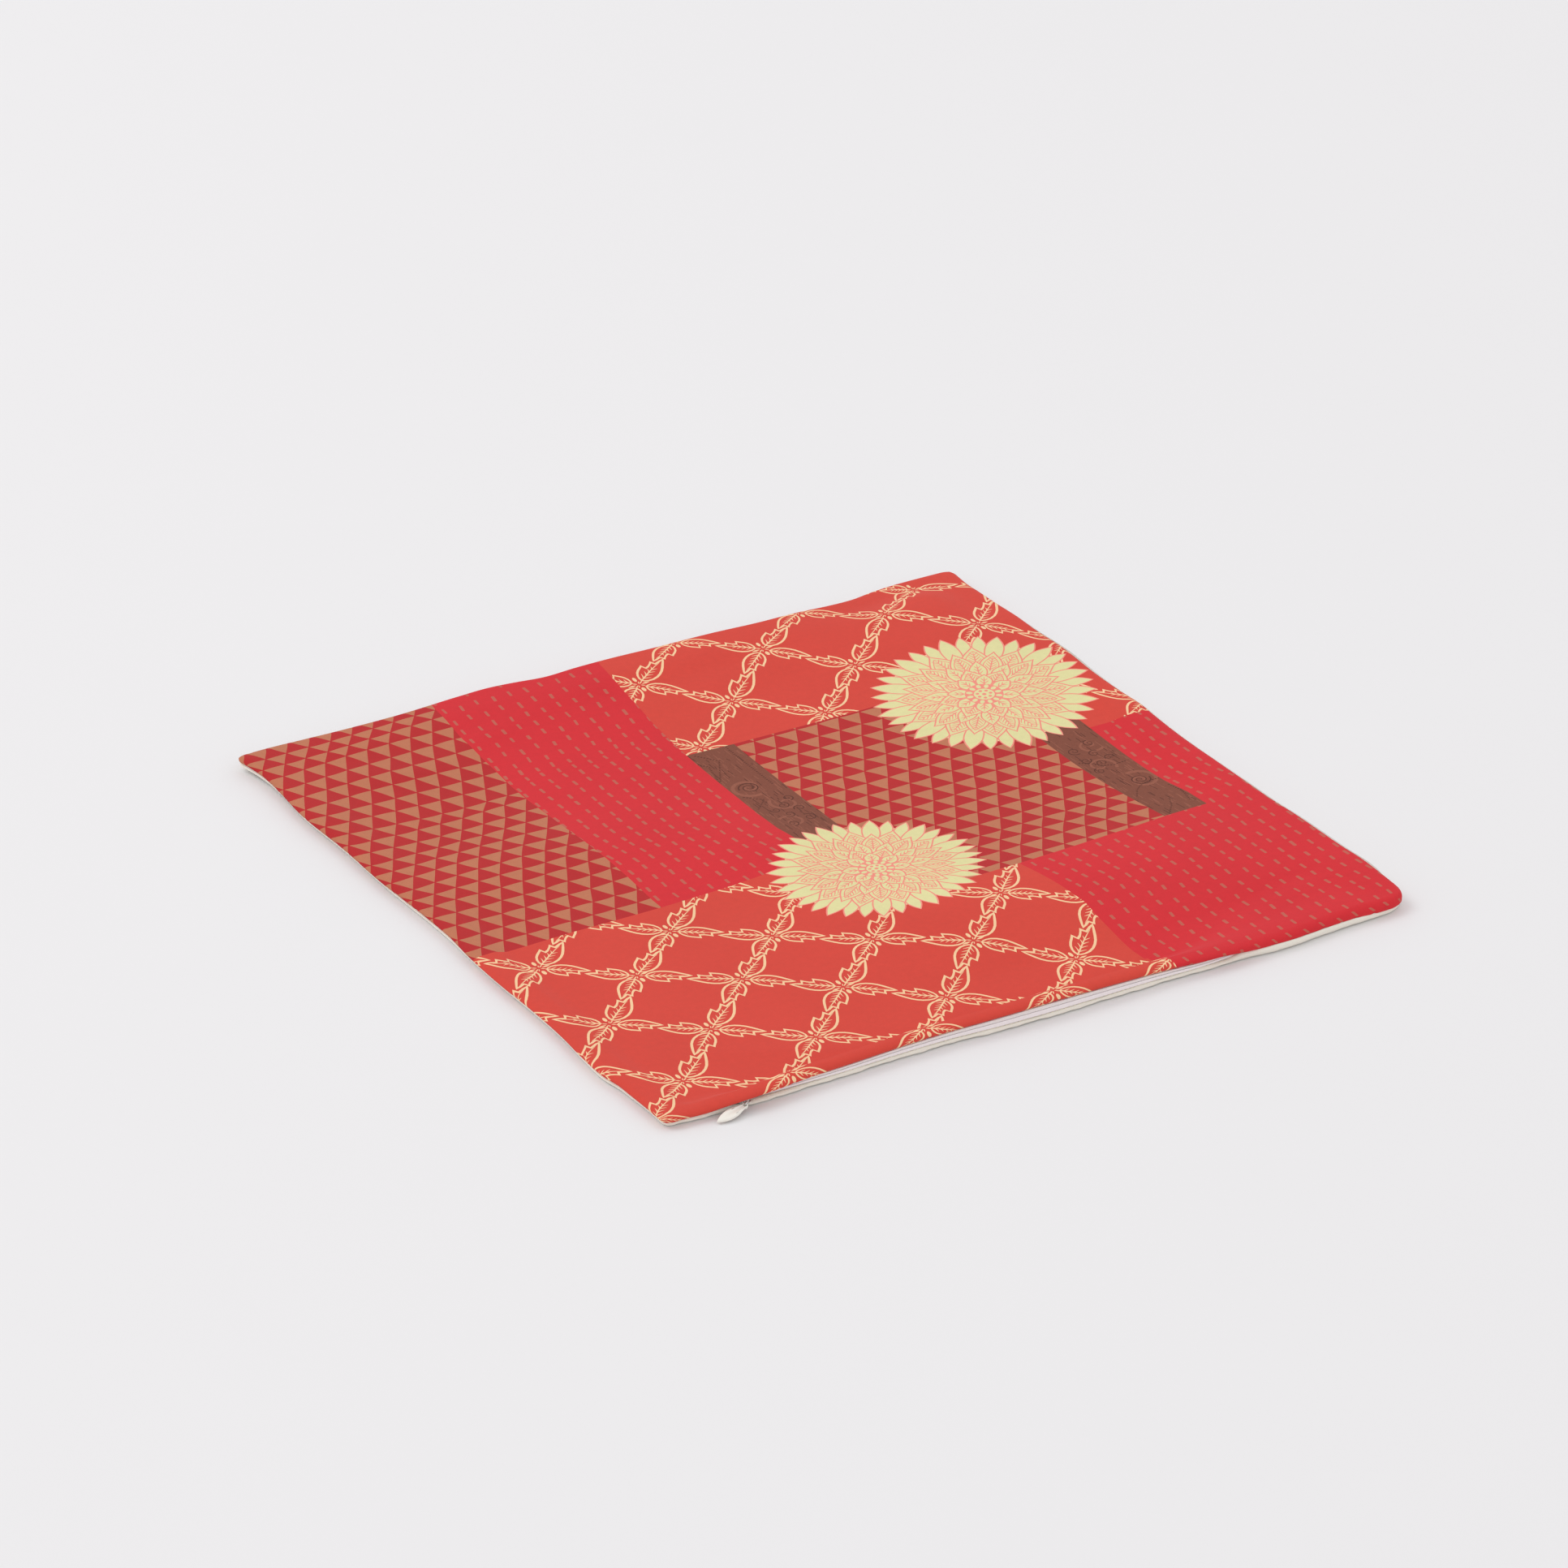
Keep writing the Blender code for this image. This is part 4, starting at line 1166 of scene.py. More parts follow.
@dataclass
class Print:
    """The front cloth's print: grounds from the lowest to the top one, and the motifs on them."""

    shape: CoverShape
    left_border: tuple[Place, ...] = (
        (-92.5, 250), (-96, 195), (-98, 175), (-100, 160), (-101, 145), (-102.5, 125), (-104, 105),
        (-104, 90), (-103, 70), (-102, 50), (-101, 20), (-101.5, 0), (-103, -25), (-103, -33.5),
    )
    middle_border: tuple[Place, ...] = (
        (2, 250), (-4, 195), (-6, 180), (-10, 150), (-13, 130), (-15, 110), (-16.5, 90), (-17.5, 40),
        (-17.5, 20), (-17, 5), (-15, -8), (-12, -31),
    )
    right_border: tuple[Place, ...] = (
        (61, -180), (62.5, -165), (65, -145), (67.5, -130), (66.5, -110), (62, -85),
    )
    strip_border: tuple[Place, ...] = (
        (138, 64), (138, -10), (139, -30), (140.5, -45), (142.5, -60), (145.5, -79.5),
        (169.5, -79.5), (168.5, -65), (165.5, -50), (164.5, -38), (164.5, 64),
    )
    middle_patch: tuple[Place, ...] = (
        (9, 88.5), (9, -84), (50, -83), (62, -83), (140, -80), (147, -79.5), (140, -20), (138, 88),
    )
    far: float = 260.0

    def grounds(self) -> list[Motif]:
        """The printed grounds in unrolled coordinates, from the lowest to the top one.

        Returns:
            The grounds as motifs.
        """
        view = self.shape.from_view
        far = self.far
        left = view([(-far, far), *self.left_border, (-150, -32.5), (-200, -31), (-far, -30)])
        dashes = view([*self.left_border[::-1], *self.middle_border, (-60, -32), (-80, -33)])
        middle = view(self.middle_patch)
        brown = view([*self.middle_border[6:], (9, -31), (9, 88.5)])
        strip = view(self.strip_border)
        edge = [(164.5, 14), (far, 14), (far, -190), (61.5, -190)]
        right = view([*edge, *self.right_border, (62, -80), (138, -72), (150, -60)])
        corner = view([(61, -180)])[0]
        band = [corner, (67.5, -194), (69, -far), (far, -far), (far, -140), corner + (30, 40)]
        return [
            Motif(dashes, Patch.DASHES, Ink.ROSE_RED),
            Motif(left, Patch.TRIANGLES, Ink.DEEP_RED),
            Motif(right, Patch.DASHES, Ink.ROSE_RED),
            Motif(np.array(band), Patch.DASHES, Ink.ROSE_RED),
            Motif(middle, Patch.TRIANGLES, Ink.DEEP_RED),
            Motif(brown, Patch.BROWN, Ink.BROWN),
            Motif(strip, Patch.BROWN, Ink.BROWN),
        ]

    def rosettes(self) -> tuple[Rosette, Rosette]:
        """The two rosettes."""
        return (
            Rosette(centre=(2.0, -53.0), size=(53.0, 49.0), turn=4.0),
            Rosette(centre=(140.0, 70.0), size=(57.0, 56.0), turn=-9.0),
        )

    def triangle_panels(self) -> tuple[TrianglePanel, TrianglePanel]:
        """The panels of triangles at the left and in the middle.

        Returns:
            The two panels.
        """
        rows = (
            98, 85.5, 74, 64, 53, 42, 32, 21, 10.5, 0, -10.5, -20.5, -31, -41, -51, -59.3, -68.2,
            -78, -88,
        )
        return (
            TrianglePanel(
                across=(-196.0, -150.0, -105.0),
                lines=(
                    (211, 201, 191, 181.3, 170.8, 159.2, 147.7, 136, 126.2, 116, 105.4, 94.2, 83.3,
                     71.7, 61.7, 51.5, 41, 32.3, 22.7, 12.1, 1.2, -11.9, -23.5, -34.5, -46),
                    (211, 201, 191.5, 183, 174, 161.5, 149.5, 137, 124, 112, 99.5, 90.5, 80,
                     70.8, 62, 53, 43, 32.5, 22, 10.5, -0.5, -12, -23, -34, -45),
                    (212, 203, 193.3, 185.8, 174, 162.1, 148.7, 134.2, 122.1, 110.2, 99, 91.9, 81.3,
                     71.2, 60.6, 50.6, 41, 32.3, 22.3, 11.2, 0, -12.9, -23.5, -35, -46),
                ),
                first=-227.8, pitch=11.8, count=13, even_line=20, lean=2.0,
            ),
            TrianglePanel(
                across=(0.0, 70.0, 140.0), lines=(rows, rows, rows),
                first=-5.5, pitch=11.97, count=14, even_line=9, seed=4,
            ),
        )

    def dash_panels(self) -> tuple[DashPanel, DashPanel]:
        """The panels of dashes at the left and at the right.

        Returns:
            The two panels.
        """
        return (
            DashPanel(
                first=-102.5, pitch=8.68, count=12, near_until=9.0, far_from=0.0, far_full=9.0,
                near_rows=(195, 183.3, 171.5, 160.8, 151.9, 141.3, 130, 119.5, 112, 106, 97.8, 90.6, 80,
                           73, 62.7, 56.1, 47, 40, 31.5, 26, 17.5, 9.6, -0.8, -9.5, -20, -30, -40),
                far_rows=(195, 184.8, 173, 163, 151.7, 139.5, 128, 119, 111, 105.6, 97, 87, 77, 68.5,
                          60, 50, 43, 32.5, 25.8, 16, 8, -1, -9, -18, -27, -36, -45),
                near_shifts=(
                    Shift(190, 9.1), Shift(146, 4.6), Shift(123, 1.6), Shift(110, 0.0), Shift(45, 0.3),
                    Shift(34, 1.3), Shift(20, 4.0), Shift(5, 4.7), Shift(-5, 4.0), Shift(-25, 2.4),
                ),
                far_shifts=(
                    Shift(190, 11.7), Shift(144, 5.3), Shift(122, 1.6), Shift(110, 0.0),
                    Shift(40, -0.7), Shift(28, -1.3), Shift(18, -1.0), Shift(10, 0.0), Shift(-2, 2.0),
                    Shift(-20, 5.5),
                ),
            ),
            DashPanel(
                first=67.3, pitch=9.0, count=17, near_until=9.5, far_from=8.0, far_full=12.0,
                squeeze=0.35, length=4.3, seed=6,
                near_rows=(20, 12, 3, -6, -15, -24, -33, -42, -51, -60, -68, -76, -84, -91, -97, -105,
                           -111.8, -120.5, -130, -142, -153.8, -165.5, -176, -185, -194, -203, -212),
                far_rows=(20, 11, 2.3, -5.5, -15.5, -24.8, -34.5, -43.3, -50.8, -57.8, -64.8, -74.3,
                          -82, -93, -100.8, -111.5, -121, -129.5, -139.5, -149, -158, -166.8, -175,
                          -182, -191, -200, -209),
                near_shifts=(
                    Shift(-87, 0.0), Shift(-100, 4.0), Shift(-115, 6.5), Shift(-125, 7.0),
                    Shift(-135, 6.0), Shift(-148, 3.5), Shift(-159, 2.0), Shift(-172, 0.0),
                    Shift(-190, 1.0),
                ),
                far_shifts=(
                    Shift(8, -4.6), Shift(-10, -6.0), Shift(-45, -6.0), Shift(-55, -4.0),
                    Shift(-61, -2.0), Shift(-70, -0.6), Shift(-78, 0.0), Shift(-160, 0.0),
                    Shift(-170, 1.0), Shift(-180, 2.5), Shift(-192, 3.6),
                ),
            ),
        )

    def strips(self) -> tuple[ScrollStrip, ScrollStrip]:
        """The two brown strips' drawings.

        Returns:
            The two strips.
        """
        return (
            ScrollStrip(centre=(-4.0, 38.0)),
            ScrollStrip(
                centre=(152.0, -35.0), turn=4.0, mirrored=True, seed=10,
                cords=(
                    ((10, -22), (6, -19), (3, -14), (-3, -11), (-11, -11)),
                    ((9, 22), (5, 17), (1, 14), (-5, 12), (-12, 13)),
                    ((8, 46), (2, 40), (-3, 31)), ((-9, 40), (-12, 30), (-11, 20)),
                ),
            ),
        )

    def motifs(self) -> list[Motif]:
        """All motifs but the rosettes', from the lowest to the top one."""
        parts = (*self.triangle_panels(), *self.dash_panels(), Trellis(), *self.strips())
        return [motif for part in parts for motif in part.motifs(self.shape)]


@dataclass
class FaceFinder:
    """Finds the faces whose middles lie in an outline, by way of a grid of square cells."""

    middles: Array
    cell: float = 8.0
    reach: float = 240.0
    last: int = 61
    stride: int = 1000

    def __post_init__(self) -> None:
        """Sorts the faces by their cells."""
        cells = self.cells(self.middles)
        keys = cells[:, 0] * self.stride + cells[:, 1]
        self.order = np.argsort(keys, kind="stable")
        self.keys = keys[self.order]

    def cells(self, places: Array) -> Array:
        """Column and row of the cell that each place lies in."""
        return np.floor((places + self.reach) / self.cell).astype(int)

    def near(self, outline: Array) -> Array:
        """Faces whose cells touch the outline's box."""
        low, high = self.cells(outline.min(axis=0)), self.cells(outline.max(axis=0))
        runs = [self.order[:0]]
        for column in range(max(low[0], 0), min(high[0], self.last) + 1):
            row = column * self.stride
            start = np.searchsorted(self.keys, row + max(low[1], 0))
            end = np.searchsorted(self.keys, row + min(high[1], self.last) + 1)
            runs.append(self.order[start:end])
        return np.concatenate(runs)

    def within(self, outline: Array, allowed: Array | None = None) -> Array:
        """Faces in a closed outline by the even-odd rule.

        Args:
            outline: The outline's points.
            allowed: For each face, whether it may be found.

        Returns:
            Indices of faces.
        """
        found = self.near(outline)
        if allowed is not None:
            found = found[allowed[found]]
        x, y = self.middles[found, 0][:, None], self.middles[found, 1][:, None]
        ax, ay = outline[:, 0], outline[:, 1]
        bx, by = np.roll(ax, -1), np.roll(ay, -1)
        crosses = (ay[None, :] > y) != (by[None, :] > y)
        cut = ax + (y - ay) * (bx - ax) / np.where(by == ay, 1.0, by - ay)
        return found[(np.sum(crosses & (x < cut), axis=1) % 2).astype(bool)]


@dataclass
class PrintedSheet:
    """A flat mesh that has the print's lines as edges, with a colour for each face."""

    shape: CoverShape
    design: Print
    step: float = 3.6
    rim_step: float = 0.8
    rim_width: float = 8.0
    roll_step: float = 0.75
    merge: float = 1e-4
    least_area: float = 1e-7
    points: list[Array] = field(default_factory=list)
    edges: list[Array] = field(default_factory=list)
    size: int = 0

    def add_outline(self, outline: Array) -> None:
        """Adds a closed outline's points and edges, cut short enough to follow the cloth.

        Args:
            outline: Its corners in unrolled coordinates.
        """
        after = np.roll(outline, -1, axis=0)
        run = after - outline
        far = np.abs(np.stack([outline, after])).max(axis=(0, 2))
        rim = far > self.shape.squeeze_start + self.rim_width
        most = np.where(rim, self.rim_step, self.step)
        parts = np.maximum(np.ceil(np.linalg.norm(run, axis=1) / most), 1).astype(int)
        start = np.repeat(np.arange(len(outline)), parts)
        share = np.concatenate([np.arange(n) / n for n in parts])
        outline = outline[start] + run[start] * share[:, None]
        index = self.size + np.arange(len(outline))
        self.points.append(outline)
        self.edges.append(np.stack([index, np.roll(index, -1)], axis=-1))
        self.size += len(outline)

    def grid(self) -> Array:
        """Points of the base grid: close over the rolled edges and even between them."""
        shape = self.shape
        flat = HALF - shape.zip_roll - 1.5
        over = HALF - shape.roll + shape.over_length + shape.under_length
        turned_in = np.linspace(over, shape.domain, 3)
        rim = np.concatenate([np.arange(flat, over, self.roll_step), turned_in])
        inner = np.linspace(-flat, flat, round(2 * flat / self.step) + 1)
        along = np.concatenate([-rim[:0:-1], inner, rim[1:]])
        return np.stack(np.meshgrid(along, along, indexing="ij"), axis=-1).reshape(-1, 2)

    @staticmethod
    def colour(middles: Array, grounds: Sequence[Motif], motifs: Sequence[Motif]) -> Array:
        """Gives each face its ink.

        Args:
            middles: Middle of each face.
            grounds: Grounds from the lowest to the top one.
            motifs: Motifs from the lowest to the top one, each of which stays on its own ground.

        Returns:
            One linear colour and grain for each face.
        """
        finder = FaceFinder(middles)
        patch = np.full(len(middles), int(Patch.TRELLIS))
        ink = np.tile(np.array(Ink.CORAL.linear()), (len(middles), 1))
        for outline, kind, colour in grounds:
            found = finder.within(outline)
            patch[found] = int(kind)
            ink[found] = colour.linear()
        allowed = {kind: patch == int(kind) for kind in Patch}
        for outline, kind, colour in motifs:
            ink[finder.within(outline, allowed[kind])] = colour.linear()
        return ink

    def cut(self, points: Array, edges: Array) -> tuple[Array, Array, Array]:
        """Cuts the square sheet into triangles along the given edges.

        Args:
            points: Points on the sheet.
            edges: Pairs of indices of points.

        Returns:
            Points, triangles and the middle of each triangle.
        """
        places = [Vector(p) for p in points.tolist()]
        found = delaunay_2d_cdt(places, edges.tolist(), [], 0, self.merge, False)
        flat = np.array([tuple(p) for p in found[0]])
        faces = np.array([f for f in found[2] if len(f) == 3])
        middles = flat[faces].mean(axis=1)
        kept = np.all(np.abs(middles) < self.shape.domain + TINY, axis=1)
        a, b, c = (flat[faces[:, k]] for k in range(3))
        first, second = b - a, c - a
        area = first[:, 0] * second[:, 1] - first[:, 1] * second[:, 0]
        faces[area < 0] = faces[area < 0][:, ::-1]
        kept &= np.abs(area) > self.least_area
        faces, middles = faces[kept], middles[kept]
        used, faces = np.unique(faces, return_inverse=True)
        return flat[used], faces.reshape(-1, 3), middles

    @staticmethod
    def borders(faces: Array, ink: Array) -> Array:
        """Edges at which the ink changes, so that lines hidden under other ink can go."""
        sides = np.sort(np.concatenate([faces[:, (0, 1)], faces[:, (1, 2)], faces[:, (2, 0)]]), axis=1)
        owner = np.tile(np.arange(len(faces)), 3)
        order = np.lexsort((sides[:, 1], sides[:, 0]))
        sides, owner = sides[order], owner[order]
        same = np.all(sides[1:] == sides[:-1], axis=1)
        return sides[1:][same & np.any(ink[owner[1:]] != ink[owner[:-1]], axis=1)]

    def build(self) -> tuple[Array, Array, Array]:
        """Cuts the sheet into triangles along the lines of the print that show.

        Returns:
            Unrolled points, triangles and the ink of each triangle.
        """
        end = self.shape.domain
        grounds = [
            Motif(np.clip(outline, -end, end), patch, ink)
            for outline, patch, ink in self.design.grounds()
        ]
        motifs = [
            motif for motif in self.design.motifs()
            if np.all(motif.outline.max(axis=0) > -end) and np.all(motif.outline.min(axis=0) < end)
        ]
        for rosette in self.design.rosettes():
            outlines = rosette.ground(self.shape)
            grounds += [Motif(outline, Patch.ROSETTE, Ink.PINK) for outline in outlines]
            motifs += rosette.motifs(self.shape)
        self.add_outline(np.array([(-end, -end), (end, -end), (end, end), (-end, end)]))
        for motif in (*grounds, *motifs):
            self.add_outline(motif.outline)
        flat, faces, middles = self.cut(np.concatenate(self.points), np.concatenate(self.edges))
        borders = self.borders(faces, self.colour(middles, grounds, motifs))
        used, borders = np.unique(borders, return_inverse=True)
        points = np.concatenate([flat[used], self.grid()])
        flat, faces, middles = self.cut(points, borders.reshape(-1, 2))
        return flat, faces, self.colour(middles, grounds, motifs)


class Nodes:
    """Short names for the shader nodes that the finishes share."""

    def __init__(self, name: str) -> None:
        """Makes an empty material with its shader and output."""
        self.material = bpy.data.materials.new(name)
        self.material.use_nodes = True
        self.tree = self.material.node_tree
        self.shader = self.tree.nodes["Principled BSDF"]

    def add(self, kind: str, **settings: object) -> bpy.types.Node:
        """Adds a node and sets its properties."""
        node = self.tree.nodes.new(kind)
        for name, value in settings.items():
            setattr(node, name, value)
        return node

    def link(self, source: Socket, target: Socket) -> None:
        """Joins two sockets."""
        self.tree.links.new(source, target)

    def feed(self, socket: Socket, value: object) -> None:
        """Links a socket, or sets it where the value is a constant."""
        if isinstance(value, bpy.types.NodeSocket):
            self.link(value, socket)
        else:
            socket.default_value = value

    def math(self, operation: str, a: object, b: object = 0.0) -> Socket:
        """A Math node on two values."""
        node = self.add("ShaderNodeMath", operation=operation)
        self.feed(node.inputs[0], a)
        self.feed(node.inputs[1], b)
        return node.outputs[0]

    def scaled(self, value: Socket, factor: float, offset: float) -> Socket:
        """A value times a factor, plus an offset."""
        socket = self.math("MULTIPLY_ADD", value, factor)
        socket.node.inputs[2].default_value = offset
        return socket

    def varied(self, value: Socket, amount: float) -> Socket:
        """Turns a value from 0 to 1 into a factor about 1 that varies by an amount."""
        return self.scaled(value, amount, 1.0 - amount / 2)

    def product(self, first: Socket, *others: object) -> Socket:
        """Multiplies values in turn."""
        for other in others:
            first = self.math("MULTIPLY", first, other)
        return first

    def enlarged(self, vector: Socket, scale: float) -> Socket:
        """A vector times a number."""
        node = self.add("ShaderNodeVectorMath", operation="SCALE")
        self.link(vector, node.inputs[0])
        node.inputs["Scale"].default_value = scale
        return node.outputs[0]

    def uv(self, scale: float) -> Socket:
        """The piece's own map, in millimetres along the cloth."""
        return self.enlarged(self.add("ShaderNodeUVMap", uv_map="OFBake").outputs[0], scale)

    def place(self) -> Socket:
        """Object coordinates in millimetres."""
        return self.enlarged(self.add("ShaderNodeTexCoord").outputs["Object"], 1 / MM)

    def stretched(self, vector: Socket, scale: Colour) -> Socket:
        """Scales a vector along each axis."""
        node = self.add("ShaderNodeVectorMath", operation="MULTIPLY")
        self.link(vector, node.inputs[0])
        node.inputs[1].default_value = scale
        return node.outputs[0]

    def noise(self, vector: Socket, size: float, detail: float = 2.0) -> Socket:
        """Noise about 0.5, with features of the given size."""
        node = self.add("ShaderNodeTexNoise")
        self.link(vector, node.inputs["Vector"])
        node.inputs["Scale"].default_value = 1.0 / size
        node.inputs["Detail"].default_value = detail
        return node.outputs["Fac"]

    def weave(self, vector: Socket, pitch: float) -> Socket:
        """Height of a plain weave from 0 to 1: threads over and under in turn.

        Args:
            vector: Place in millimetres.
            pitch: Distance between threads.

        Returns:
            The height.
        """
        parts = self.add("ShaderNodeSeparateXYZ")
        self.link(vector, parts.inputs[0])
        u = self.math("MULTIPLY", parts.outputs[0], math.pi / pitch)
        v = self.math("MULTIPLY", parts.outputs[1], math.pi / pitch)
        warp = self.math("ABSOLUTE", self.math("SINE", u))
        weft = self.math("ABSOLUTE", self.math("SINE", v))
        over = self.math("MULTIPLY", self.math("COSINE", u), self.math("COSINE", v))
        share = self.math("ADD", self.math("MULTIPLY", over, 0.5), 0.5)
        mixed = self.add("ShaderNodeMix", data_type="FLOAT")
        self.link(share, mixed.inputs[0])
        self.link(warp, mixed.inputs[2])
        self.link(weft, mixed.inputs[3])
        return mixed.outputs[0]

    def shade(self, colour: object, factor: Socket) -> Socket:
        """Multiplies a colour by a grey factor.

        Args:
            colour: A colour or a socket.
            factor: Grey factor.

        Returns:
            The shaded colour.
        """
        grey = self.add("ShaderNodeCombineColor")
        for k in range(3):
            self.link(factor, grey.inputs[k])
        node = self.add("ShaderNodeMix", data_type="RGBA", blend_type="MULTIPLY")
        node.inputs[0].default_value = 1.0
        self.feed(node.inputs[6], colour)
        self.link(grey.outputs[0], node.inputs[7])
        return node.outputs[2]

    def paint(self, colour: object, factor: Socket) -> None:
        """Gives the surface a colour times a grey factor."""
        self.link(self.shade(colour, factor), self.shader.inputs["Base Color"])

    def bump(self, height: Socket, distance: float, strength: float) -> None:
        """Lets a height in 0 to 1 raise the surface by a distance in millimetres."""
        node = self.add("ShaderNodeBump")
        node.inputs["Strength"].default_value = strength
        node.inputs["Distance"].default_value = distance * MM
        self.link(height, node.inputs["Height"])
        self.link(node.outputs[0], self.shader.inputs["Normal"])

    def constant(self, **values: float) -> None:
        """Sets constants on the shader's own sockets, with _ for a blank in their names."""
        for name, value in values.items():
            self.shader.inputs[name.replace("_", " ")].default_value = value


@dataclass(frozen=True)
class PrintedCotton:
    """Matt plain-weave cotton whose ink comes from the faces, with painted shade between its threads."""

    map_size: float
    thread: float = 0.42
    mottle: float = 0.13
    cloud: float = 0.1
    grain: float = 0.42

    def material(self) -> bpy.types.Material:
        """Builds the finish.

        Returns:
            The finished material.
        """
        nodes = Nodes("printed_cotton_finish")
        ink = nodes.add("ShaderNodeAttribute", attribute_type="GEOMETRY", attribute_name="ink")
        flat = nodes.uv(self.map_size)
        weave = nodes.weave(flat, self.thread)
        fibre = nodes.noise(nodes.stretched(flat, (1.0, 2.6, 1.0)), size=0.9, detail=3.0)
        mottle = nodes.noise(flat, size=3.2, detail=4.0)
        cloud = nodes.noise(flat, size=46.0)
        streak = nodes.noise(nodes.stretched(flat, (2.4, 0.5, 1.0)), size=0.9)
        rough = nodes.product(nodes.math("SUBTRACT", streak, 0.5), ink.outputs["Alpha"], self.grain)
        tone = nodes.product(
            nodes.varied(fibre, self.mottle),
            nodes.varied(mottle, self.mottle),
            nodes.varied(cloud, self.cloud),
            nodes.math("ADD", rough, 1.0),
            # The weave's height darkens the colour where the threads dip: painted shade in the weave's
            # hollows.
            nodes.scaled(weave, factor=0.1, offset=0.94),
        )
        nodes.paint(ink.outputs["Color"], tone)
        nodes.link(nodes.scaled(mottle, factor=0.12, offset=0.8), nodes.shader.inputs["Roughness"])
        height = nodes.math("ADD", nodes.product(weave, 0.6), nodes.product(fibre, 0.5))
        nodes.bump(height, distance=0.07, strength=0.5)
        nodes.constant(Sheen_Weight=0.05, Sheen_Roughness=0.5, Specular_IOR_Level=0.12)
        return nodes.material


@dataclass(frozen=True)
class PlainCotton:
    """Unbleached cotton with a few thicker threads."""

    map_size: float
    colour: Colour = (243, 237, 225)
    thread: float = 0.5

    def material(self) -> bpy.types.Material:
        """Builds the finish.

        Returns:
            The finished material.
        """
        nodes = Nodes("plain_cotton_finish")
        flat = nodes.uv(self.map_size)
        weave = nodes.weave(flat, self.thread)
        slubs = nodes.noise(nodes.stretched(flat, (0.12, 1.6, 1.0)), size=1.0)
        fibre = nodes.noise(flat, size=0.8, detail=3.0)
        tone = nodes.product(nodes.scaled(slubs, factor=0.14, offset=0.92), nodes.varied(fibre, 0.08))
        nodes.paint(linear(*self.colour), tone)
        height = nodes.math("ADD", nodes.product(weave, 0.7), nodes.product(slubs, 0.4))
        nodes.bump(height, distance=0.06, strength=0.4)
        nodes.constant(Roughness=0.88, Sheen_Weight=0.15, Sheen_Roughness=0.5, Specular_IOR_Level=0.25)
        return nodes.material


@dataclass(frozen=True)
class TapeWeave:
    """Smooth woven tape with fine cross ribs, with painted shade in the ribs' hollows."""

    name: str
    colour: Colour
    rib: float = 0.8

    def material(self) -> bpy.types.Material:
        """Builds the finish.

        Returns:
            The finished material.
        """
        nodes = Nodes(self.name)
        place = nodes.place()
        parts = nodes.add("ShaderNodeSeparateXYZ")
        nodes.link(place, parts.inputs[0])
        wave = nodes.math("SINE", nodes.product(parts.outputs[0], 2 * math.pi / self.rib))
        wave = nodes.scaled(wave, factor=0.5, offset=0.5)
        fibre = nodes.noise(place, size=0.7)
        # The ribs' wave darkens the colour in their hollows: painted shade.
        tone = nodes.product(nodes.varied(wave, 0.03), nodes.varied(fibre, 0.06))
        nodes.paint(linear(*self.colour), tone)
        nodes.bump(nodes.math("ADD", wave, fibre), distance=0.05, strength=0.2)
        nodes.constant(Roughness=0.7, Sheen_Weight=0.1, Specular_IOR_Level=0.35)
        return nodes.material


@dataclass(frozen=True)
class Hardware:
    """Plated metal or glossy enamel with faint wear."""

    name: str
    colour: Colour
    metallic: float
    roughness: float
    coat: float = 0.0
    wear: float = 0.16

    def material(self) -> bpy.types.Material:
        """Builds the finish.

        Returns:
            The finished material.
        """
        nodes = Nodes(self.name)
        place = nodes.place()
        wear = nodes.noise(place, size=1.2, detail=3.0)
        nodes.paint(linear(*self.colour), nodes.varied(wear, self.wear))
        rough = nodes.scaled(wear, factor=0.18, offset=self.roughness - 0.09)
        nodes.link(rough, nodes.shader.inputs["Roughness"])
        nodes.bump(nodes.noise(place, size=0.5), distance=0.02, strength=0.15)
        nodes.constant(Metallic=self.metallic, Coat_Weight=self.coat, Coat_Roughness=0.15)
        return nodes.material


@dataclass(frozen=True)
class FloorPaper:
    """Plain pale floor with the faintest grain."""

    colour: Colour = (237, 236, 237)

    def material(self) -> bpy.types.Material:
        """Builds the finish."""
        nodes = Nodes("floor_finish")
        grain = nodes.noise(nodes.place(), size=90.0)
        nodes.paint(linear(*self.colour), nodes.varied(grain, 0.006))
        nodes.constant(Roughness=0.9, Specular_IOR_Level=0.1)
        return nodes.material


def new_object(name: str, mesh: bpy.types.Mesh, *materials: bpy.types.Material) -> Piece:
    """Links a mesh to the scene as an object with its materials."""
    thing = bpy.data.objects.new(name, mesh)
    bpy.context.scene.collection.objects.link(thing)
    for material in materials:
        mesh.materials.append(material)
    return thing


def to_world(points: Array) -> Array:
    """Moves table coordinates in millimetres to the finished place in metres."""
    return (points - np.array(MIDDLE)) * MM


def mesh_from(name: str, points: Array, faces: Array) -> bpy.types.Mesh:
    """Makes a mesh from arrays of points in metres and of triangles or quads.

    Args:
        name: Name of the mesh.
        points: One row of metres for each point.
        faces: One row of point numbers for each face.

    Returns:
        The mesh.
    """
    mesh = bpy.data.meshes.new(name)
    sides = faces.shape[1]
    mesh.vertices.add(len(points))
    mesh.vertices.foreach_set("co", points.astype(np.float32).ravel())
    mesh.loops.add(faces.size)
    mesh.loops.foreach_set("vertex_index", faces.astype(np.int32).ravel())
    mesh.polygons.add(len(faces))
    mesh.polygons.foreach_set("loop_start", np.arange(0, faces.size, sides, dtype=np.int32))
    mesh.update(calc_edges=True)
    mesh.validate()
    return mesh


def add_map(mesh: bpy.types.Mesh, flat: Array, size: float) -> None:
    """Gives a mesh its map from flat coordinates in millimetres about the middle."""
    layer = mesh.uv_layers.new(name="OFBake")
    index = np.empty(len(mesh.loops), dtype=np.int32)
    mesh.loops.foreach_get("vertex_index", index)
    layer.data.foreach_set("uv", ((flat[index] + size / 2) / size).astype(np.float32).ravel())


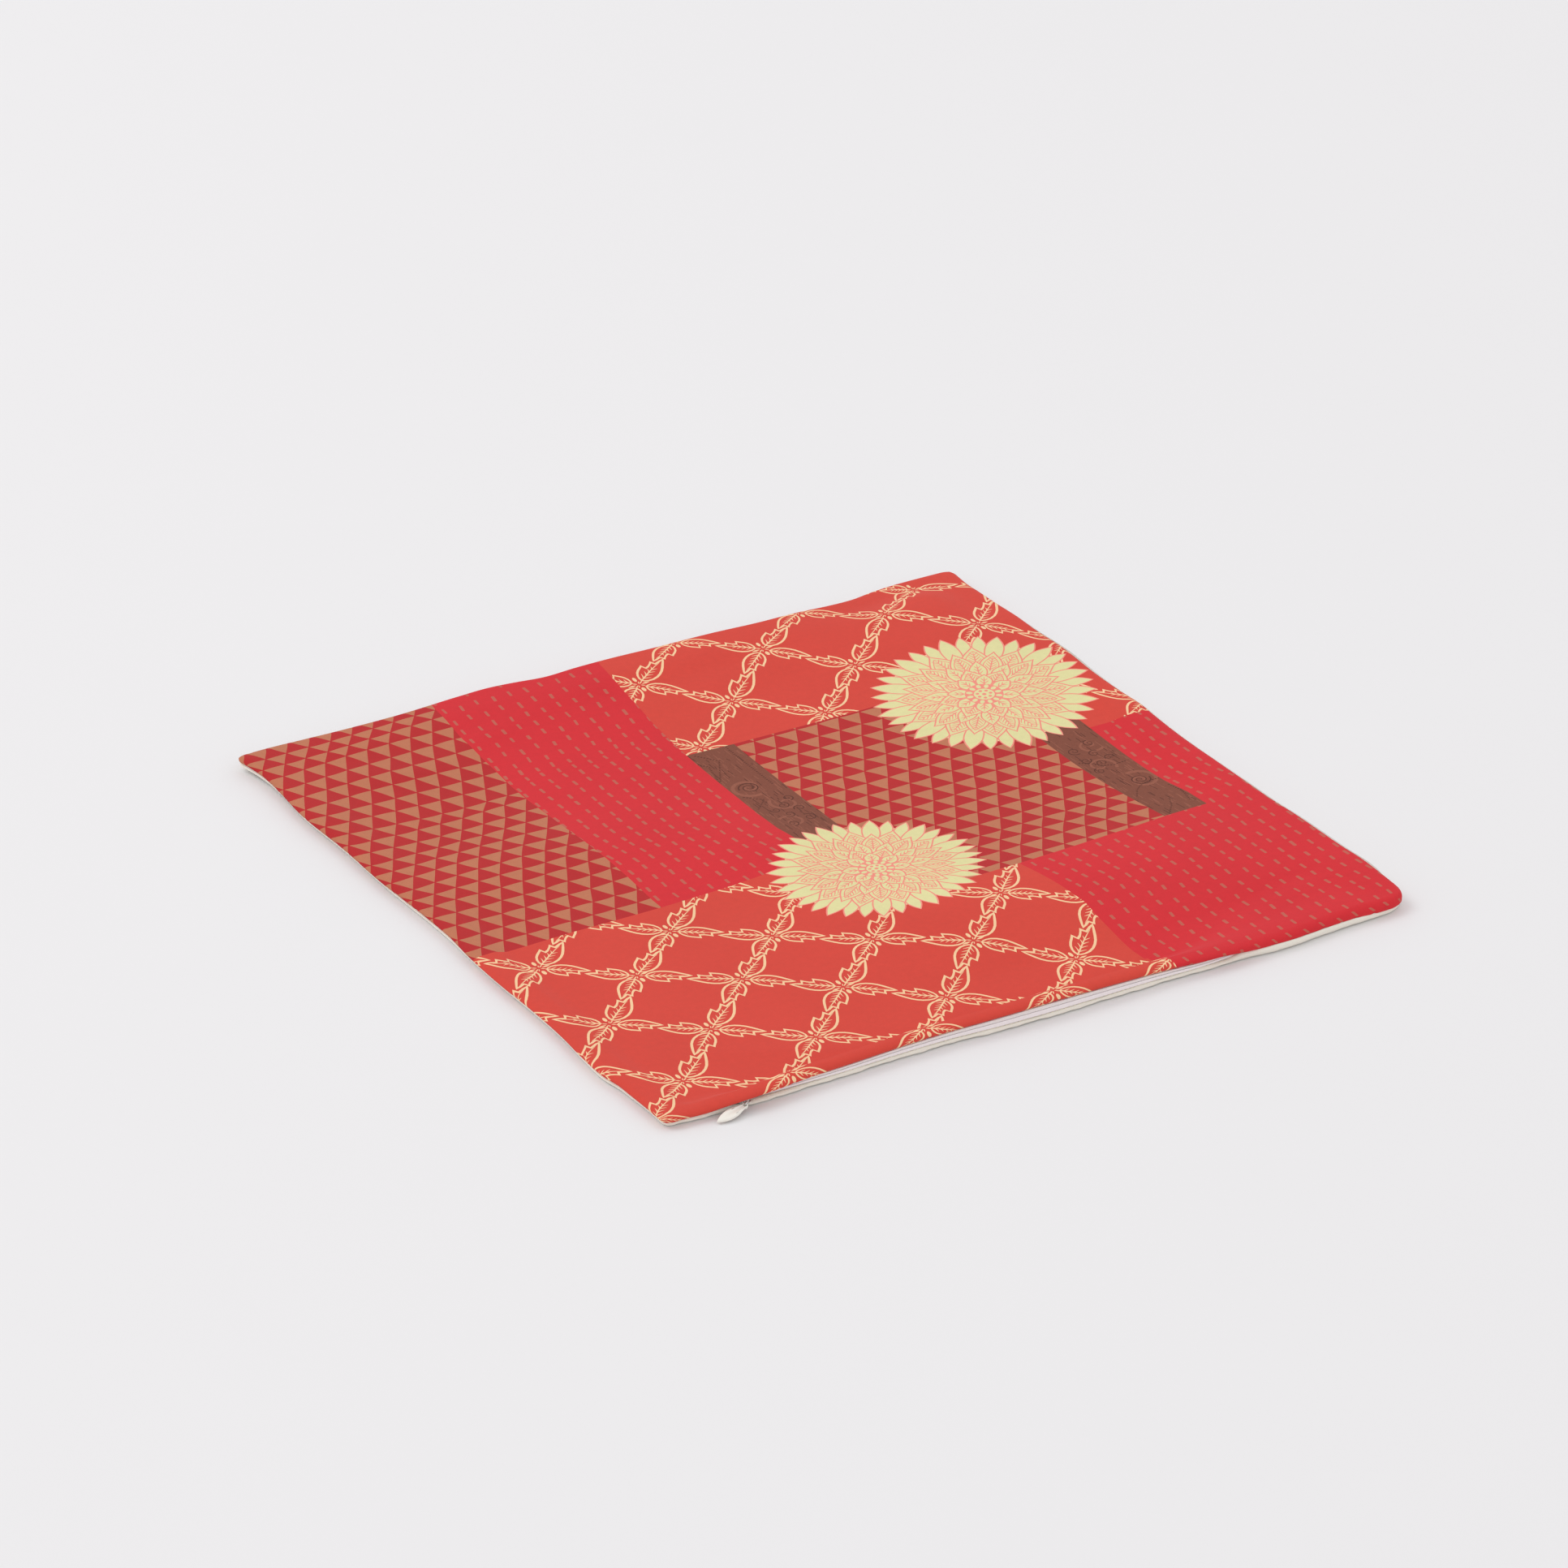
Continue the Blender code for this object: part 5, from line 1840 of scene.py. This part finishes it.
@dataclass
class PrintedFront:
    """The printed front cloth with its rolled edges and turned-in allowances."""

    shape: CoverShape
    design: Print
    node: str = "front_panel"
    normal_reach: float = 0.15

    def build(self) -> Piece:
        """Builds the sheet with its inks, shading normals and map.

        Returns:
            The finished piece.
        """
        flat, faces, ink = PrintedSheet(self.shape, self.design).build()
        p, q = flat[:, 0], flat[:, 1]
        places = self.shape.front(p, q)
        reach = self.normal_reach
        along = self.shape.front(p + reach, q) - self.shape.front(p - reach, q)
        across = self.shape.front(p, q + reach) - self.shape.front(p, q - reach)
        normals = unit(np.cross(along, across), 1e-9)
        mesh = mesh_from("printed_front", to_world(places), faces)
        if len(mesh.polygons) != len(faces):
            LOG.warning("The front lost %d faces", len(faces) - len(mesh.polygons))
        layer = mesh.attributes.new("ink", "FLOAT_COLOR", "FACE")
        layer.data.foreach_set("color", ink[: len(mesh.polygons)].astype(np.float32).ravel())
        size = 2 * self.shape.domain
        add_map(mesh, flat, size)
        mesh.shade_smooth()
        mesh.normals_split_custom_set_from_vertices(normals.tolist())
        piece = new_object("printed_front", mesh, PrintedCotton(map_size=size).material())
        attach(piece, "root")
        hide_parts(self.node)
        LOG.info("Printed front: %d triangles", len(faces))
        return piece


@dataclass
class PlainBack:
    """The plain back cloth, whose fold stands out past the front's along the east side.

    The rim is the part of its fold that shows there, and beside the zip's open side. Rings of points go
    round the fold at the listed turns in degrees, and then into the allowance at the listed depths.
    """

    shape: CoverShape
    node: str = "back_panel"
    step: float = 2.0
    edge_width: float = 20.0
    stand_out: float = 2.3
    stand_up: float = 2.5
    crown_share: Triple = (5.9, 0.2, 2.9)
    flat_out: float = 2.6
    flat_up: float = 0.35
    west_out: float = 0.3
    zip_start: float = -170.0
    zip_end: float = 106.0
    seam_gap: float = 0.15
    map_margin: float = 20.0
    fold_run: float = 1.1
    flat_run: float = 2.2
    turns: tuple[float, ...] = (-60, -30, 0, 30, 60, 90)
    depths: tuple[float, ...] = (2.0, 3.5, 5.2, 9.0)

    def rim_share(self, x: Array, y: Array) -> Array:
        """How much of the rim there is: all along the east side, some right of the zip."""
        fade = self.shape.fade
        east = fade(HALF - x, 14.0)
        south = 0.55 * fade(y + HALF, 3.0) * (1.0 - fade(x - 100.0, 24.0))
        corner = fade(np.maximum(HALF - x, y + HALF), 34.0)
        return np.maximum(east, south) * (1.0 - 0.8 * corner) * (1.0 - 0.9 * fade(HALF - y, 90.0))

    def outward(self, x: Array, y: Array) -> tuple[Array, Array]:
        """Direction out of the outline, which swings round with the corners."""
        x, y = self.shape.round_corners(x * HALF, y * HALF)
        inner = HALF - max(self.shape.radius.values())
        x, y = x - np.clip(x, -inner, inner), y - np.clip(y, -inner, inner)
        size = np.maximum(np.hypot(x, y), 1e-6)
        return x / size, y / size

    def waves(self, x: Array) -> Array:
        """Small unevenness of the fold beside the zip."""
        return 0.3 * np.sin(x / 6.1) + 0.22 * np.sin(x / 2.7 + 1.0) + 0.16 * np.sin(x / 1.3 + 2.0)

    def stations(self) -> Array:
        """Grid places along a side, closer together near its ends."""
        flat = HALF - self.shape.under_roll
        inner = flat - self.edge_width
        near = inner + self.edge_width * np.linspace(0, 1, 9)[1:] ** 0.8
        middle = np.linspace(-inner, inner, round(2 * inner / self.step) + 1)
        return np.concatenate([-near[::-1], middle, near])

    def top(self, x: Array, y: Array) -> Array:
        """Upper face of the allowance, which rises to the front's fold where no zip parts them."""
        fade = self.shape.fade
        top = self.shape.back_top(x, y)
        beside = fade(y + HALF, 8.0) * (1.0 - fade(x + HALF, 6.0))
        apart = np.maximum(fade(-x + self.zip_end, 10.0), fade(x - self.zip_start, 8.0))
        rise = self.shape.blend("seam", x, y) - self.seam_gap - top
        return top + beside * apart * np.maximum(rise, 0.0)

    def ring_points(
        self, turn: float, depth: float, edge: tuple[Array, Array], bottom: Array
    ) -> Array:
        """Places one ring round the cloth.

        Args:
            turn: Its turn on the fold in degrees.
            depth: Its depth in the allowance, or 0 for a ring on the fold.
            edge: Where each point lies along the edge, from -1 to 1 in both directions.
            bottom: Height of the cloth's underside at each point.

        Returns:
            Table coordinates of its points.
        """
        shape, fade = self.shape, self.shape.fade
        on_fold = depth == 0
        angle = math.radians(turn)
        inset = shape.under_roll * (1 - math.cos(angle)) if on_fold else depth
        zip_side = HALF - min(inset, shape.zip_allowance)
        x = edge[0] * (HALF - inset)
        y = np.where(edge[1] < 0, edge[1] * zip_side, edge[1] * (HALF - inset))
        share, top = self.rim_share(x, y), self.top(x, y)
        way_x, way_y = self.outward(*edge)
        px, py = shape.plan(x, y, True)
        if on_fold:
            south = np.clip(-way_y, 0.0, 1.0) ** 2
            base, low, high = self.crown_share
            up = np.clip(shape.blend("crown", x, y) - base, low, high)
            up = south * self.stand_up + (1.0 - south) * up
            height = (top + bottom) / 2 + (top - bottom) / 2 * math.sin(angle)
            height = height + share * up * (0.5 + 0.5 * math.sin(angle)) ** 1.5
            out = share * (self.stand_out + inset) * (0.7 + 0.3 * math.sin(angle))
            below = 0.5 - 0.5 * math.sin(angle)
        else:
            first = 1.0 if depth == self.depths[0] else 0.0
            height = top + self.flat_up * share * first
            out = share * self.flat_out * first
            below = 0.0
        out = out * (way_x**2 + 1.6 * way_y**2)
        uneven = fade(y + HALF, 6.0) * self.waves(x) * (0.5 + 0.5 * fade(x - 60.0, 50.0))
        west = self.west_out * on_fold * fade(x + HALF, 4.0) * (1.0 - fade(y - 110.0, 60.0))
        px = px + out * way_x + west
        py = py + out * way_y - 0.8 * uneven * (0.3 + below)
        height = height + 0.25 * uneven * on_fold * (1.0 - below)
        return np.stack([px, py, height], axis=-1)

    def build(self) -> Piece:
        """Builds the sheet from a grid and rings round it.

        Returns:
            The finished piece.
        """
        shape = self.shape
        s = self.stations()
        n = len(s)
        x, y = (a.ravel() for a in np.meshgrid(s, s, indexing="ij"))
        points = [np.stack([*shape.plan(x, y, True), shape.back_height(x, y)], axis=-1)]
        maps = [np.stack([x, y], axis=-1)]
        index = np.arange(n * n).reshape(n, n)
        quads = [np.stack([index[:-1, :-1], index[:-1, 1:], index[1:, 1:], index[1:, :-1]], axis=-1)]
        quads = [quads[0].reshape(-1, 4)]
        last = np.concatenate([index[:, 0], index[-1, 1:], index[-2::-1, -1], index[0, -2:0:-1]])
        edge_x, edge_y = x[last], y[last]
        bottom = shape.back_height(edge_x, edge_y)
        run, count = 0.0, n * n
        rings = [(turn, 0.0) for turn in self.turns] + [(self.turns[-1], d) for d in self.depths]
        for turn, depth in rings:
            points.append(self.ring_points(turn, depth, (edge_x / s[-1], edge_y / s[-1]), bottom))
            run += self.flat_run if depth else self.fold_run
            size = 1.0 + run / HALF
            maps.append(np.stack([edge_x * size, edge_y * size], axis=-1))
            new = np.arange(len(last)) + count
            count += len(last)
            quads.append(np.stack([np.roll(last, -1), np.roll(new, -1), new, last], axis=-1))
            last = new
        faces = np.concatenate(quads)
        mesh = mesh_from("plain_back", to_world(np.concatenate(points)), faces)
        size = 2 * (HALF + self.map_margin)
        add_map(mesh, np.concatenate(maps), size)
        mesh.shade_smooth()
        piece = new_object("plain_back", mesh, PlainCotton(map_size=size).material())
        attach(piece, "root")
        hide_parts(self.node)
        LOG.info("Plain back: %d faces", len(faces))
        return piece


class Ribs:
    """Geometry Nodes that set short ribs along a line.

    KINDS names the nodes of the tree, and LINKS lists source, output, target and input of each link.
    """

    KINDS = {
        "group": "NodeGroupInput",
        "out": "NodeGroupOutput",
        "curve": "GeometryNodeMeshToCurve",
        "points": "GeometryNodeResampleCurve",
        "rib": "GeometryNodeMeshCylinder",
        "smooth": "GeometryNodeSetShadeSmooth",
        "tangent": "GeometryNodeInputTangent",
        "align": "FunctionNodeAlignRotationToVector",
        "wobble": "FunctionNodeRandomValue",
        "minus": "ShaderNodeMath",
        "angle": "ShaderNodeMath",
        "spin": "FunctionNodeAxisAngleToRotation",
        "turn": "FunctionNodeRotateRotation",
        "spots": "GeometryNodeInstanceOnPoints",
        "real": "GeometryNodeRealizeInstances",
        "paint": "GeometryNodeSetMaterial",
    }
    LINKS = (
        ("group", "Geometry", "curve", 0),
        ("curve", 0, "points", "Curve"),
        ("group", "Pitch", "points", "Length"),
        ("group", "Thickness", "rib", "Radius"),
        ("group", "Length", "rib", "Depth"),
        ("rib", "Mesh", "smooth", 0),
        ("tangent", 0, "align", "Vector"),
        ("group", "Spread", "minus", 0),
        ("minus", 0, "wobble", 2),
        ("group", "Spread", "wobble", 3),
        ("group", "Slant", "angle", 0),
        ("wobble", 1, "angle", 1),
        ("angle", 0, "spin", "Angle"),
        ("align", 0, "turn", "Rotation"),
        ("spin", 0, "turn", "Rotate By"),
        ("points", 0, "spots", "Points"),
        ("smooth", 0, "spots", "Instance"),
        ("turn", 0, "spots", "Rotation"),
        ("spots", 0, "real", 0),
        ("real", 0, "paint", "Geometry"),
        ("group", "Finish", "paint", "Material"),
        ("paint", 0, "out", 0),
    )

    def __init__(self, name: str, material: bpy.types.Material) -> None:
        """Builds the tree with its named inputs.

        Args:
            name: Name of the node tree.
            material: The ribs' material.
        """
        self.tree = bpy.data.node_groups.new(name, "GeometryNodeTree")
        self.material = material
        face = self.tree.interface
        face.new_socket("Geometry", in_out="INPUT", socket_type="NodeSocketGeometry")
        self.sockets = {}
        for label in ("Pitch", "Thickness", "Length", "Slant", "Spread", "Finish"):
            kind = "NodeSocketMaterial" if label == "Finish" else "NodeSocketFloat"
            self.sockets[label] = face.new_socket(label, in_out="INPUT", socket_type=kind).identifier
        face.new_socket("Geometry", in_out="OUTPUT", socket_type="NodeSocketGeometry")
        nodes = {label: self.tree.nodes.new(kind) for label, kind in self.KINDS.items()}
        nodes["points"].mode = "LENGTH"
        nodes["rib"].inputs["Vertices"].default_value = 6
        nodes["align"].axis = "X"
        nodes["wobble"].data_type = "FLOAT"
        nodes["wobble"].inputs["Seed"].default_value = 7
        nodes["minus"].operation = "MULTIPLY"
        nodes["minus"].inputs[1].default_value = -1.0
        nodes["angle"].operation = "ADD"
        nodes["spin"].inputs["Axis"].default_value = (0.0, 1.0, 0.0)
        nodes["turn"].rotation_space = "LOCAL"
        for source, output, target, entry in self.LINKS:
            self.tree.links.new(nodes[source].outputs[output], nodes[target].inputs[entry])

    def along(self, name: str, line: Array, **sizes: float) -> Piece:
        """Sets ribs along a line and returns them as a plain mesh.

        Args:
            name: Name of the finished piece.
            line: Table coordinates of the line.
            sizes: Values of the tree's inputs, in millimetres and radians.

        Returns:
            The finished piece.
        """
        mesh = bpy.data.meshes.new(name + "_line")
        points = to_world(line)
        mesh.from_pydata(points.tolist(), [(k, k + 1) for k in range(len(points) - 1)], [])
        carrier = new_object(name + "_line", mesh)
        nodes = carrier.modifiers.new("ribs", "NODES")
        nodes.node_group = self.tree
        for label, value in sizes.items():
            nodes[self.sockets[label]] = value if label in ("Slant", "Spread") else value * MM
        nodes[self.sockets["Finish"]] = self.material
        bpy.context.view_layer.update()
        graph = bpy.context.evaluated_depsgraph_get()
        result = bpy.data.meshes.new_from_object(carrier.evaluated_get(graph))
        result.name = name
        bpy.data.objects.remove(carrier, do_unlink=True)
        piece = bpy.data.objects.new(name, result)
        bpy.context.scene.collection.objects.link(piece)
        if not result.materials:
            result.materials.append(self.material)
        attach(piece, "root")
        LOG.info("%s: %d faces", name, len(result.polygons))
        return piece


@dataclass
class HiddenZip:
    """The two tapes in the mouth of the cover, with the ribs of the front one and the stitches below."""

    shape: CoverShape
    start: float = -155.2
    end: float = 106.0
    leg: float = 5.0
    setback: float = 0.5
    tape: float = 1.0
    back_share: float = 0.56
    step: float = 4.0
    bend: int = 6
    fold_radius: float = 0.45
    tip_radius: float = 0.22
    right_fade: Place = (34.0, 3.0)
    left_fade: Place = (48.0, 3.2)

    def line(self, p: Array) -> tuple[Array, Array, Array]:
        """Table places of the zip's edge, and the height of the front cloth's fold over it."""
        side = np.full_like(p, -HALF)
        front_x, front_y = self.shape.plan(p, side)
        _, back_y = self.shape.plan(p, side, True)
        return front_x, (front_y + back_y) / 2, self.shape.blend("seam", p, side)

    def heights(self, seam: Array) -> tuple[Array, Array, Array]:
        """Lowest height of the back tape, the height where the tapes meet, and the front one's top."""
        low = np.full_like(seam, self.shape.back_fold + self.shape.gap)
        high = seam - self.shape.gap
        room = high - low - self.shape.gap
        return low, low + self.back_share * room, high

    def hidden(self, p: Array) -> Array:
        """How far the tapes draw back into the cover towards their ends."""
        right_run, right_depth = self.right_fade
        left_run, left_depth = self.left_fade
        right = np.clip((p - self.end + right_run) / right_run, 0.0, 1.0) ** 2
        left = np.clip((self.start + left_run - p) / left_run, 0.0, 1.0) ** 1.5
        return right_depth * right + left_depth * left

    def section(self, base: float, tip: float, up: float) -> list[Place]:
        """Section of a tape: inward distance from its face, and height.

        Args:
            base: Height of the tape's fold.
            tip: Height of its edge.
            up: 1.0 for the lower tape and -1.0 for the upper one.

        Returns:
            The section's points.
        """
        radius = min(self.fold_radius, self.fold_radius * abs(tip - base))
        small = self.tip_radius
        turns = [0.5 * math.pi * k / self.bend for k in range(self.bend + 1)]
        points = [(self.leg, base)]
        points += [(radius * (1 - math.sin(a)), base + up * radius * (1 - math.cos(a))) for a in turns]
        points += [(small * (1 - math.cos(a)), tip - up * small * (1 - math.sin(a))) for a in turns]
        inner = base + up * min(self.tape, 0.9 * abs(tip - base))
        points += [(self.tape, tip), (self.tape + 0.2, (tip + inner) / 2), (self.leg, inner)]
        return points

    def build_tape(self, name: str, node: str, back: bool, finish: TapeWeave) -> Piece:
        """Builds one tape from its sections.

        Args:
            name: Name of the piece.
            node: The solid that it stands for.
            back: True for the tape of the back cloth.
            finish: Its finish.

        Returns:
            The finished piece.
        """
        p = np.linspace(self.start, self.end, round((self.end - self.start) / self.step) + 1)
        x, edge, seam = self.line(p)
        low, meet, high = self.heights(seam)
        edge = edge + self.hidden(p)
        base, tip, up = (low, meet, 1.0) if back else (high, meet + self.shape.gap, -1.0)
        rings = []
        for px, py, foot, top in zip(x, edge, base.tolist(), tip.tolist()):
            section = self.section(foot, top, up)
            rings.append([(px, py + self.setback + inward, z) for inward, z in section])
        points = np.array(rings)
        index = np.arange(points.shape[0] * points.shape[1]).reshape(points.shape[:2])
        beside = np.roll(index, -1, axis=1)
        quads = np.stack([index[:-1], beside[:-1], beside[1:], index[1:]], axis=-1)
        mesh = mesh_from(name, to_world(points.reshape(-1, 3)), quads.reshape(-1, 4))
        work = bmesh.new()
        work.from_mesh(mesh)
        work.verts.ensure_lookup_table()
        work.faces.new([work.verts[i] for i in index[0]])
        work.faces.new([work.verts[i] for i in index[-1]])
        bmesh.ops.recalc_face_normals(work, faces=work.faces)
        work.to_mesh(mesh)
        work.free()
        mesh.shade_smooth()
        mesh.set_sharp_from_angle(angle=math.radians(50))
        piece = new_object(name, mesh, finish.material())
        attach(piece, "root")
        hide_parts(node)
        LOG.info("%s: %d faces", name, len(mesh.polygons))
        return piece

    def build(self) -> tuple[list[Piece], list[Piece]]:
        """Builds the tapes, ribs and stitches.

        Returns:
            The pieces on the front cloth and the pieces on the back cloth.
        """
        ribbed = TapeWeave("ribbed_tape_finish", (238, 229, 227))
        smooth = TapeWeave("smooth_tape_finish", (246, 236, 237))
        front = self.build_tape("front_tape", "zip_tape_front", False, ribbed)
        back = self.build_tape("back_tape", "zip_tape_back", True, smooth)
        p = np.linspace(self.start + 1, self.end - 1, 120)
        x, edge, seam = self.line(p)
        _, meet, high = self.heights(seam)
        ribs = Ribs("tape_ribs", TapeWeave("rib_finish", (244, 235, 233)).material())
        tall = 0.62 * float((high - meet).mean())
        edge = edge + self.hidden(p)
        line = np.stack([x, edge + self.setback + 0.05, high - 0.45 * tall], axis=-1)
        cord = ribs.along(
            "tape_ribs", line, Pitch=0.95, Thickness=0.2, Length=1.15 * tall, Slant=0.5, Spread=0.06
        )
        thread = Ribs("fold_stitches", TapeWeave("thread_finish", (240, 230, 208)).material())
        _, back_y = self.shape.plan(p, np.full_like(p, -HALF), True)
        fold = np.stack([x, back_y + 0.75, np.full_like(p, self.shape.back_fold + 0.02)], axis=-1)
        seam_line = thread.along(
            "fold_stitches", fold, Pitch=2.4, Thickness=0.16, Length=1.5, Slant=math.pi / 2, Spread=0.05
        )
        return [front, cord], [back, seam_line]


@dataclass
class PullAndSlider:
    """The zip's small hardware: slider and link keep their solids, and the pull is a domed teardrop."""

    eye: Vector = field(default_factory=lambda: Vector((-161.3, -202.2, 3.4)))
    tip: Vector = field(default_factory=lambda: Vector((-176.9, -204.3, 1.0)))
    normal: Vector = field(default_factory=lambda: Vector((0.0, -0.28, 0.96)))
    thickness: float = 1.5
    half_width: float = 2.75
    eye_radius: float = 1.4
    hole_radius: float = 0.78
    hole_flare: float = 1.12
    neck: float = 0.3
    rounding: float = 3.2
    steps: int = 56
    rim: tuple[Place, ...] = (
        (0.8, -0.5), (0.93, -0.42), (1.0, -0.2), (1.0, 0.15), (0.94, 0.36), (0.82, 0.47), (0.6, 0.5),
    )

    def outline(self, length: float) -> Array:
        """The teardrop's outline round the eye and the body.

        Args:
            length: Distance from the middle of the eye to the tip.

        Returns:
            One row for each point.
        """
        turn = self.turns()
        t = (1 - np.cos(turn)) / 2
        wide = self.half_width * np.sin(math.pi * np.clip(t, 0, 1) ** 1.15) ** 0.8
        start = -self.eye_radius
        neck = self.neck * self.eye_radius
        x = start + (length - start) * t
        ring = np.sqrt(np.clip(self.eye_radius**2 - np.minimum(x, neck) ** 2, 0, None))
        body = np.where(x < neck, ring, np.maximum(wide, ring * (1 - t) ** 2))
        return np.stack([x, np.sign(np.sin(turn)) * body], axis=-1)

    def turns(self) -> Array:
        """Angles round the pull."""
        return np.arange(self.steps) * 2 * math.pi / self.steps

    def sections(self, length: float) -> list[tuple[Array, float]]:
        """Outlines with their heights, from the back face over the rim and down through the hole.

        Args:
            length: Distance from the middle of the eye to the tip.

        Returns:
            Outlines with heights as shares of the thickness.
        """
        turn = self.turns()
        circle = np.stack([-np.cos(turn), np.sin(turn)], axis=-1)
        inner = circle * self.hole_radius
        flared = inner * self.hole_flare
        outer = self.outline(length)
        size = np.linalg.norm(outer - circle * self.eye_radius * 0.1, axis=1, keepdims=True)
        inward = unit(np.stack([0.5 * (0.5 * length - outer[:, 0]), -outer[:, 1]], axis=-1), 0.2)
        room = (np.linalg.norm(outer, axis=1) - self.hole_radius) / 2.5
        room = np.clip(room, 0.12, 1.0)[:, None]
        rim = [
            (outer + inward * np.minimum((1.0 - share) * self.rounding, 0.25 * size) * room, height)
            for share, height in self.rim
        ]
        return [(flared, -0.5), *rim, (flared, 0.5), (inner, 0.3), (inner, -0.3)]

    def build(self) -> list[Piece]:
        """Builds the pull, and gives the slider and link their finish.

        Returns:
            The finished pieces.
        """
        for node, roughness in (("zip_slider", 0.3), ("zip_ring", 0.26)):
            metal = Hardware(node + "_finish", (206, 203, 198), 1.0, roughness).material()
            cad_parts[node].data.materials[0] = metal
        along = self.tip - self.eye
        axis_x = along.normalized()
        axis_z = (self.normal - self.normal.dot(axis_x) * axis_x).normalized()
        axis_y = axis_z.cross(axis_x)
        work = bmesh.new()
        loops = []
        for outline, height in self.sections(along.length):
            loop = []
            for x, y in outline.tolist():
                point = self.eye + axis_x * x + axis_y * y + axis_z * (height * self.thickness)
                loop.append(work.verts.new((point - MIDDLE) * MM))
            loops.append(loop)
        loops.append(loops[0])
        for first, second in zip(loops, loops[1:]):
            for k in range(self.steps):
                n = (k + 1) % self.steps
                work.faces.new([first[k], first[n], second[n], second[k]])
        bmesh.ops.recalc_face_normals(work, faces=work.faces)
        mesh = bpy.data.meshes.new("pull")
        work.to_mesh(mesh)
        work.free()
        mesh.shade_smooth()
        enamel = Hardware("white_enamel_finish", (246, 241, 231), 0.0, 0.42, 0.2, 0.04).material()
        pull = new_object("pull", mesh, enamel)
        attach(pull, "root")
        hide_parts("zip_pull")
        LOG.info("Pull: %d faces", len(mesh.polygons))
        return [pull]


@dataclass
class Setting:
    """Floor, light and camera."""

    azimuth: float = -31.209
    elevation: float = 28.076
    distance: float = 3.7441
    target: Triple = (0.01497, 0.05480, 0.0)
    lens: float = 180.0
    sensor: float = 36.0
    sky: float = 0.86
    key_place: Triple = (-3.6, 3.0, 5.2)
    key_size: float = 3.6
    key_power: float = 100.0
    floor_half: float = 9.0
    floor_level: float = -0.0004

    def build(self) -> None:
        """Builds floor, lights and camera."""
        floor = bpy.data.meshes.new("floor")
        half, level = self.floor_half, self.floor_level
        corners = ((-half, -half), (half, -half), (half, half), (-half, half))
        floor.from_pydata([(x, y, level) for x, y in corners], [], [(0, 1, 2, 3)])
        new_object("floor", floor, FloorPaper().material())
        scene = bpy.context.scene
        scene.view_settings.view_transform = "Standard"
        scene.view_settings.look = "None"
        world = bpy.data.worlds.new("studio")
        world.use_nodes = True
        background = world.node_tree.nodes["Background"]
        background.inputs["Color"].default_value = (1.0, 0.995, 1.0, 1.0)
        background.inputs["Strength"].default_value = self.sky
        scene.world = world
        self.add_light("key", self.key_place, self.key_size, self.key_power)
        angle, rise = math.radians(self.azimuth), math.radians(self.elevation)
        target = Vector(self.target)
        level = math.cos(rise)
        away = Vector((level * math.sin(angle), -level * math.cos(angle), math.sin(rise)))
        camera = bpy.data.cameras.new("camera")
        camera.lens = self.lens
        camera.sensor_width = self.sensor
        camera.clip_end = 50.0
        eye = bpy.data.objects.new("camera", camera)
        eye.location = target + away * self.distance
        eye.rotation_euler = (-away).to_track_quat("-Z", "Y").to_euler()
        scene.collection.objects.link(eye)
        scene.camera = eye

    @staticmethod
    def add_light(name: str, place: Triple, size: float, power: float) -> None:
        """Adds a square soft light that faces the cover."""
        data = bpy.data.lights.new(name, "AREA")
        data.size = size
        data.energy = power
        lamp = bpy.data.objects.new(name, data)
        lamp.location = place
        lamp.rotation_euler = (-Vector(place)).to_track_quat("-Z", "Y").to_euler()
        bpy.context.scene.collection.objects.link(lamp)


def main() -> None:
    """Builds the cover's looks in order."""
    logging.basicConfig(level=logging.INFO, format="%(message)s")
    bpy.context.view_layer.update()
    Setting().build()
    shape = CoverShape()
    front = PrintedFront(shape, Print(shape)).build()
    back = PlainBack(shape).build()
    on_front, on_back = HiddenZip(shape).build()
    PullAndSlider().build()


if __name__ == "__main__":
    main()
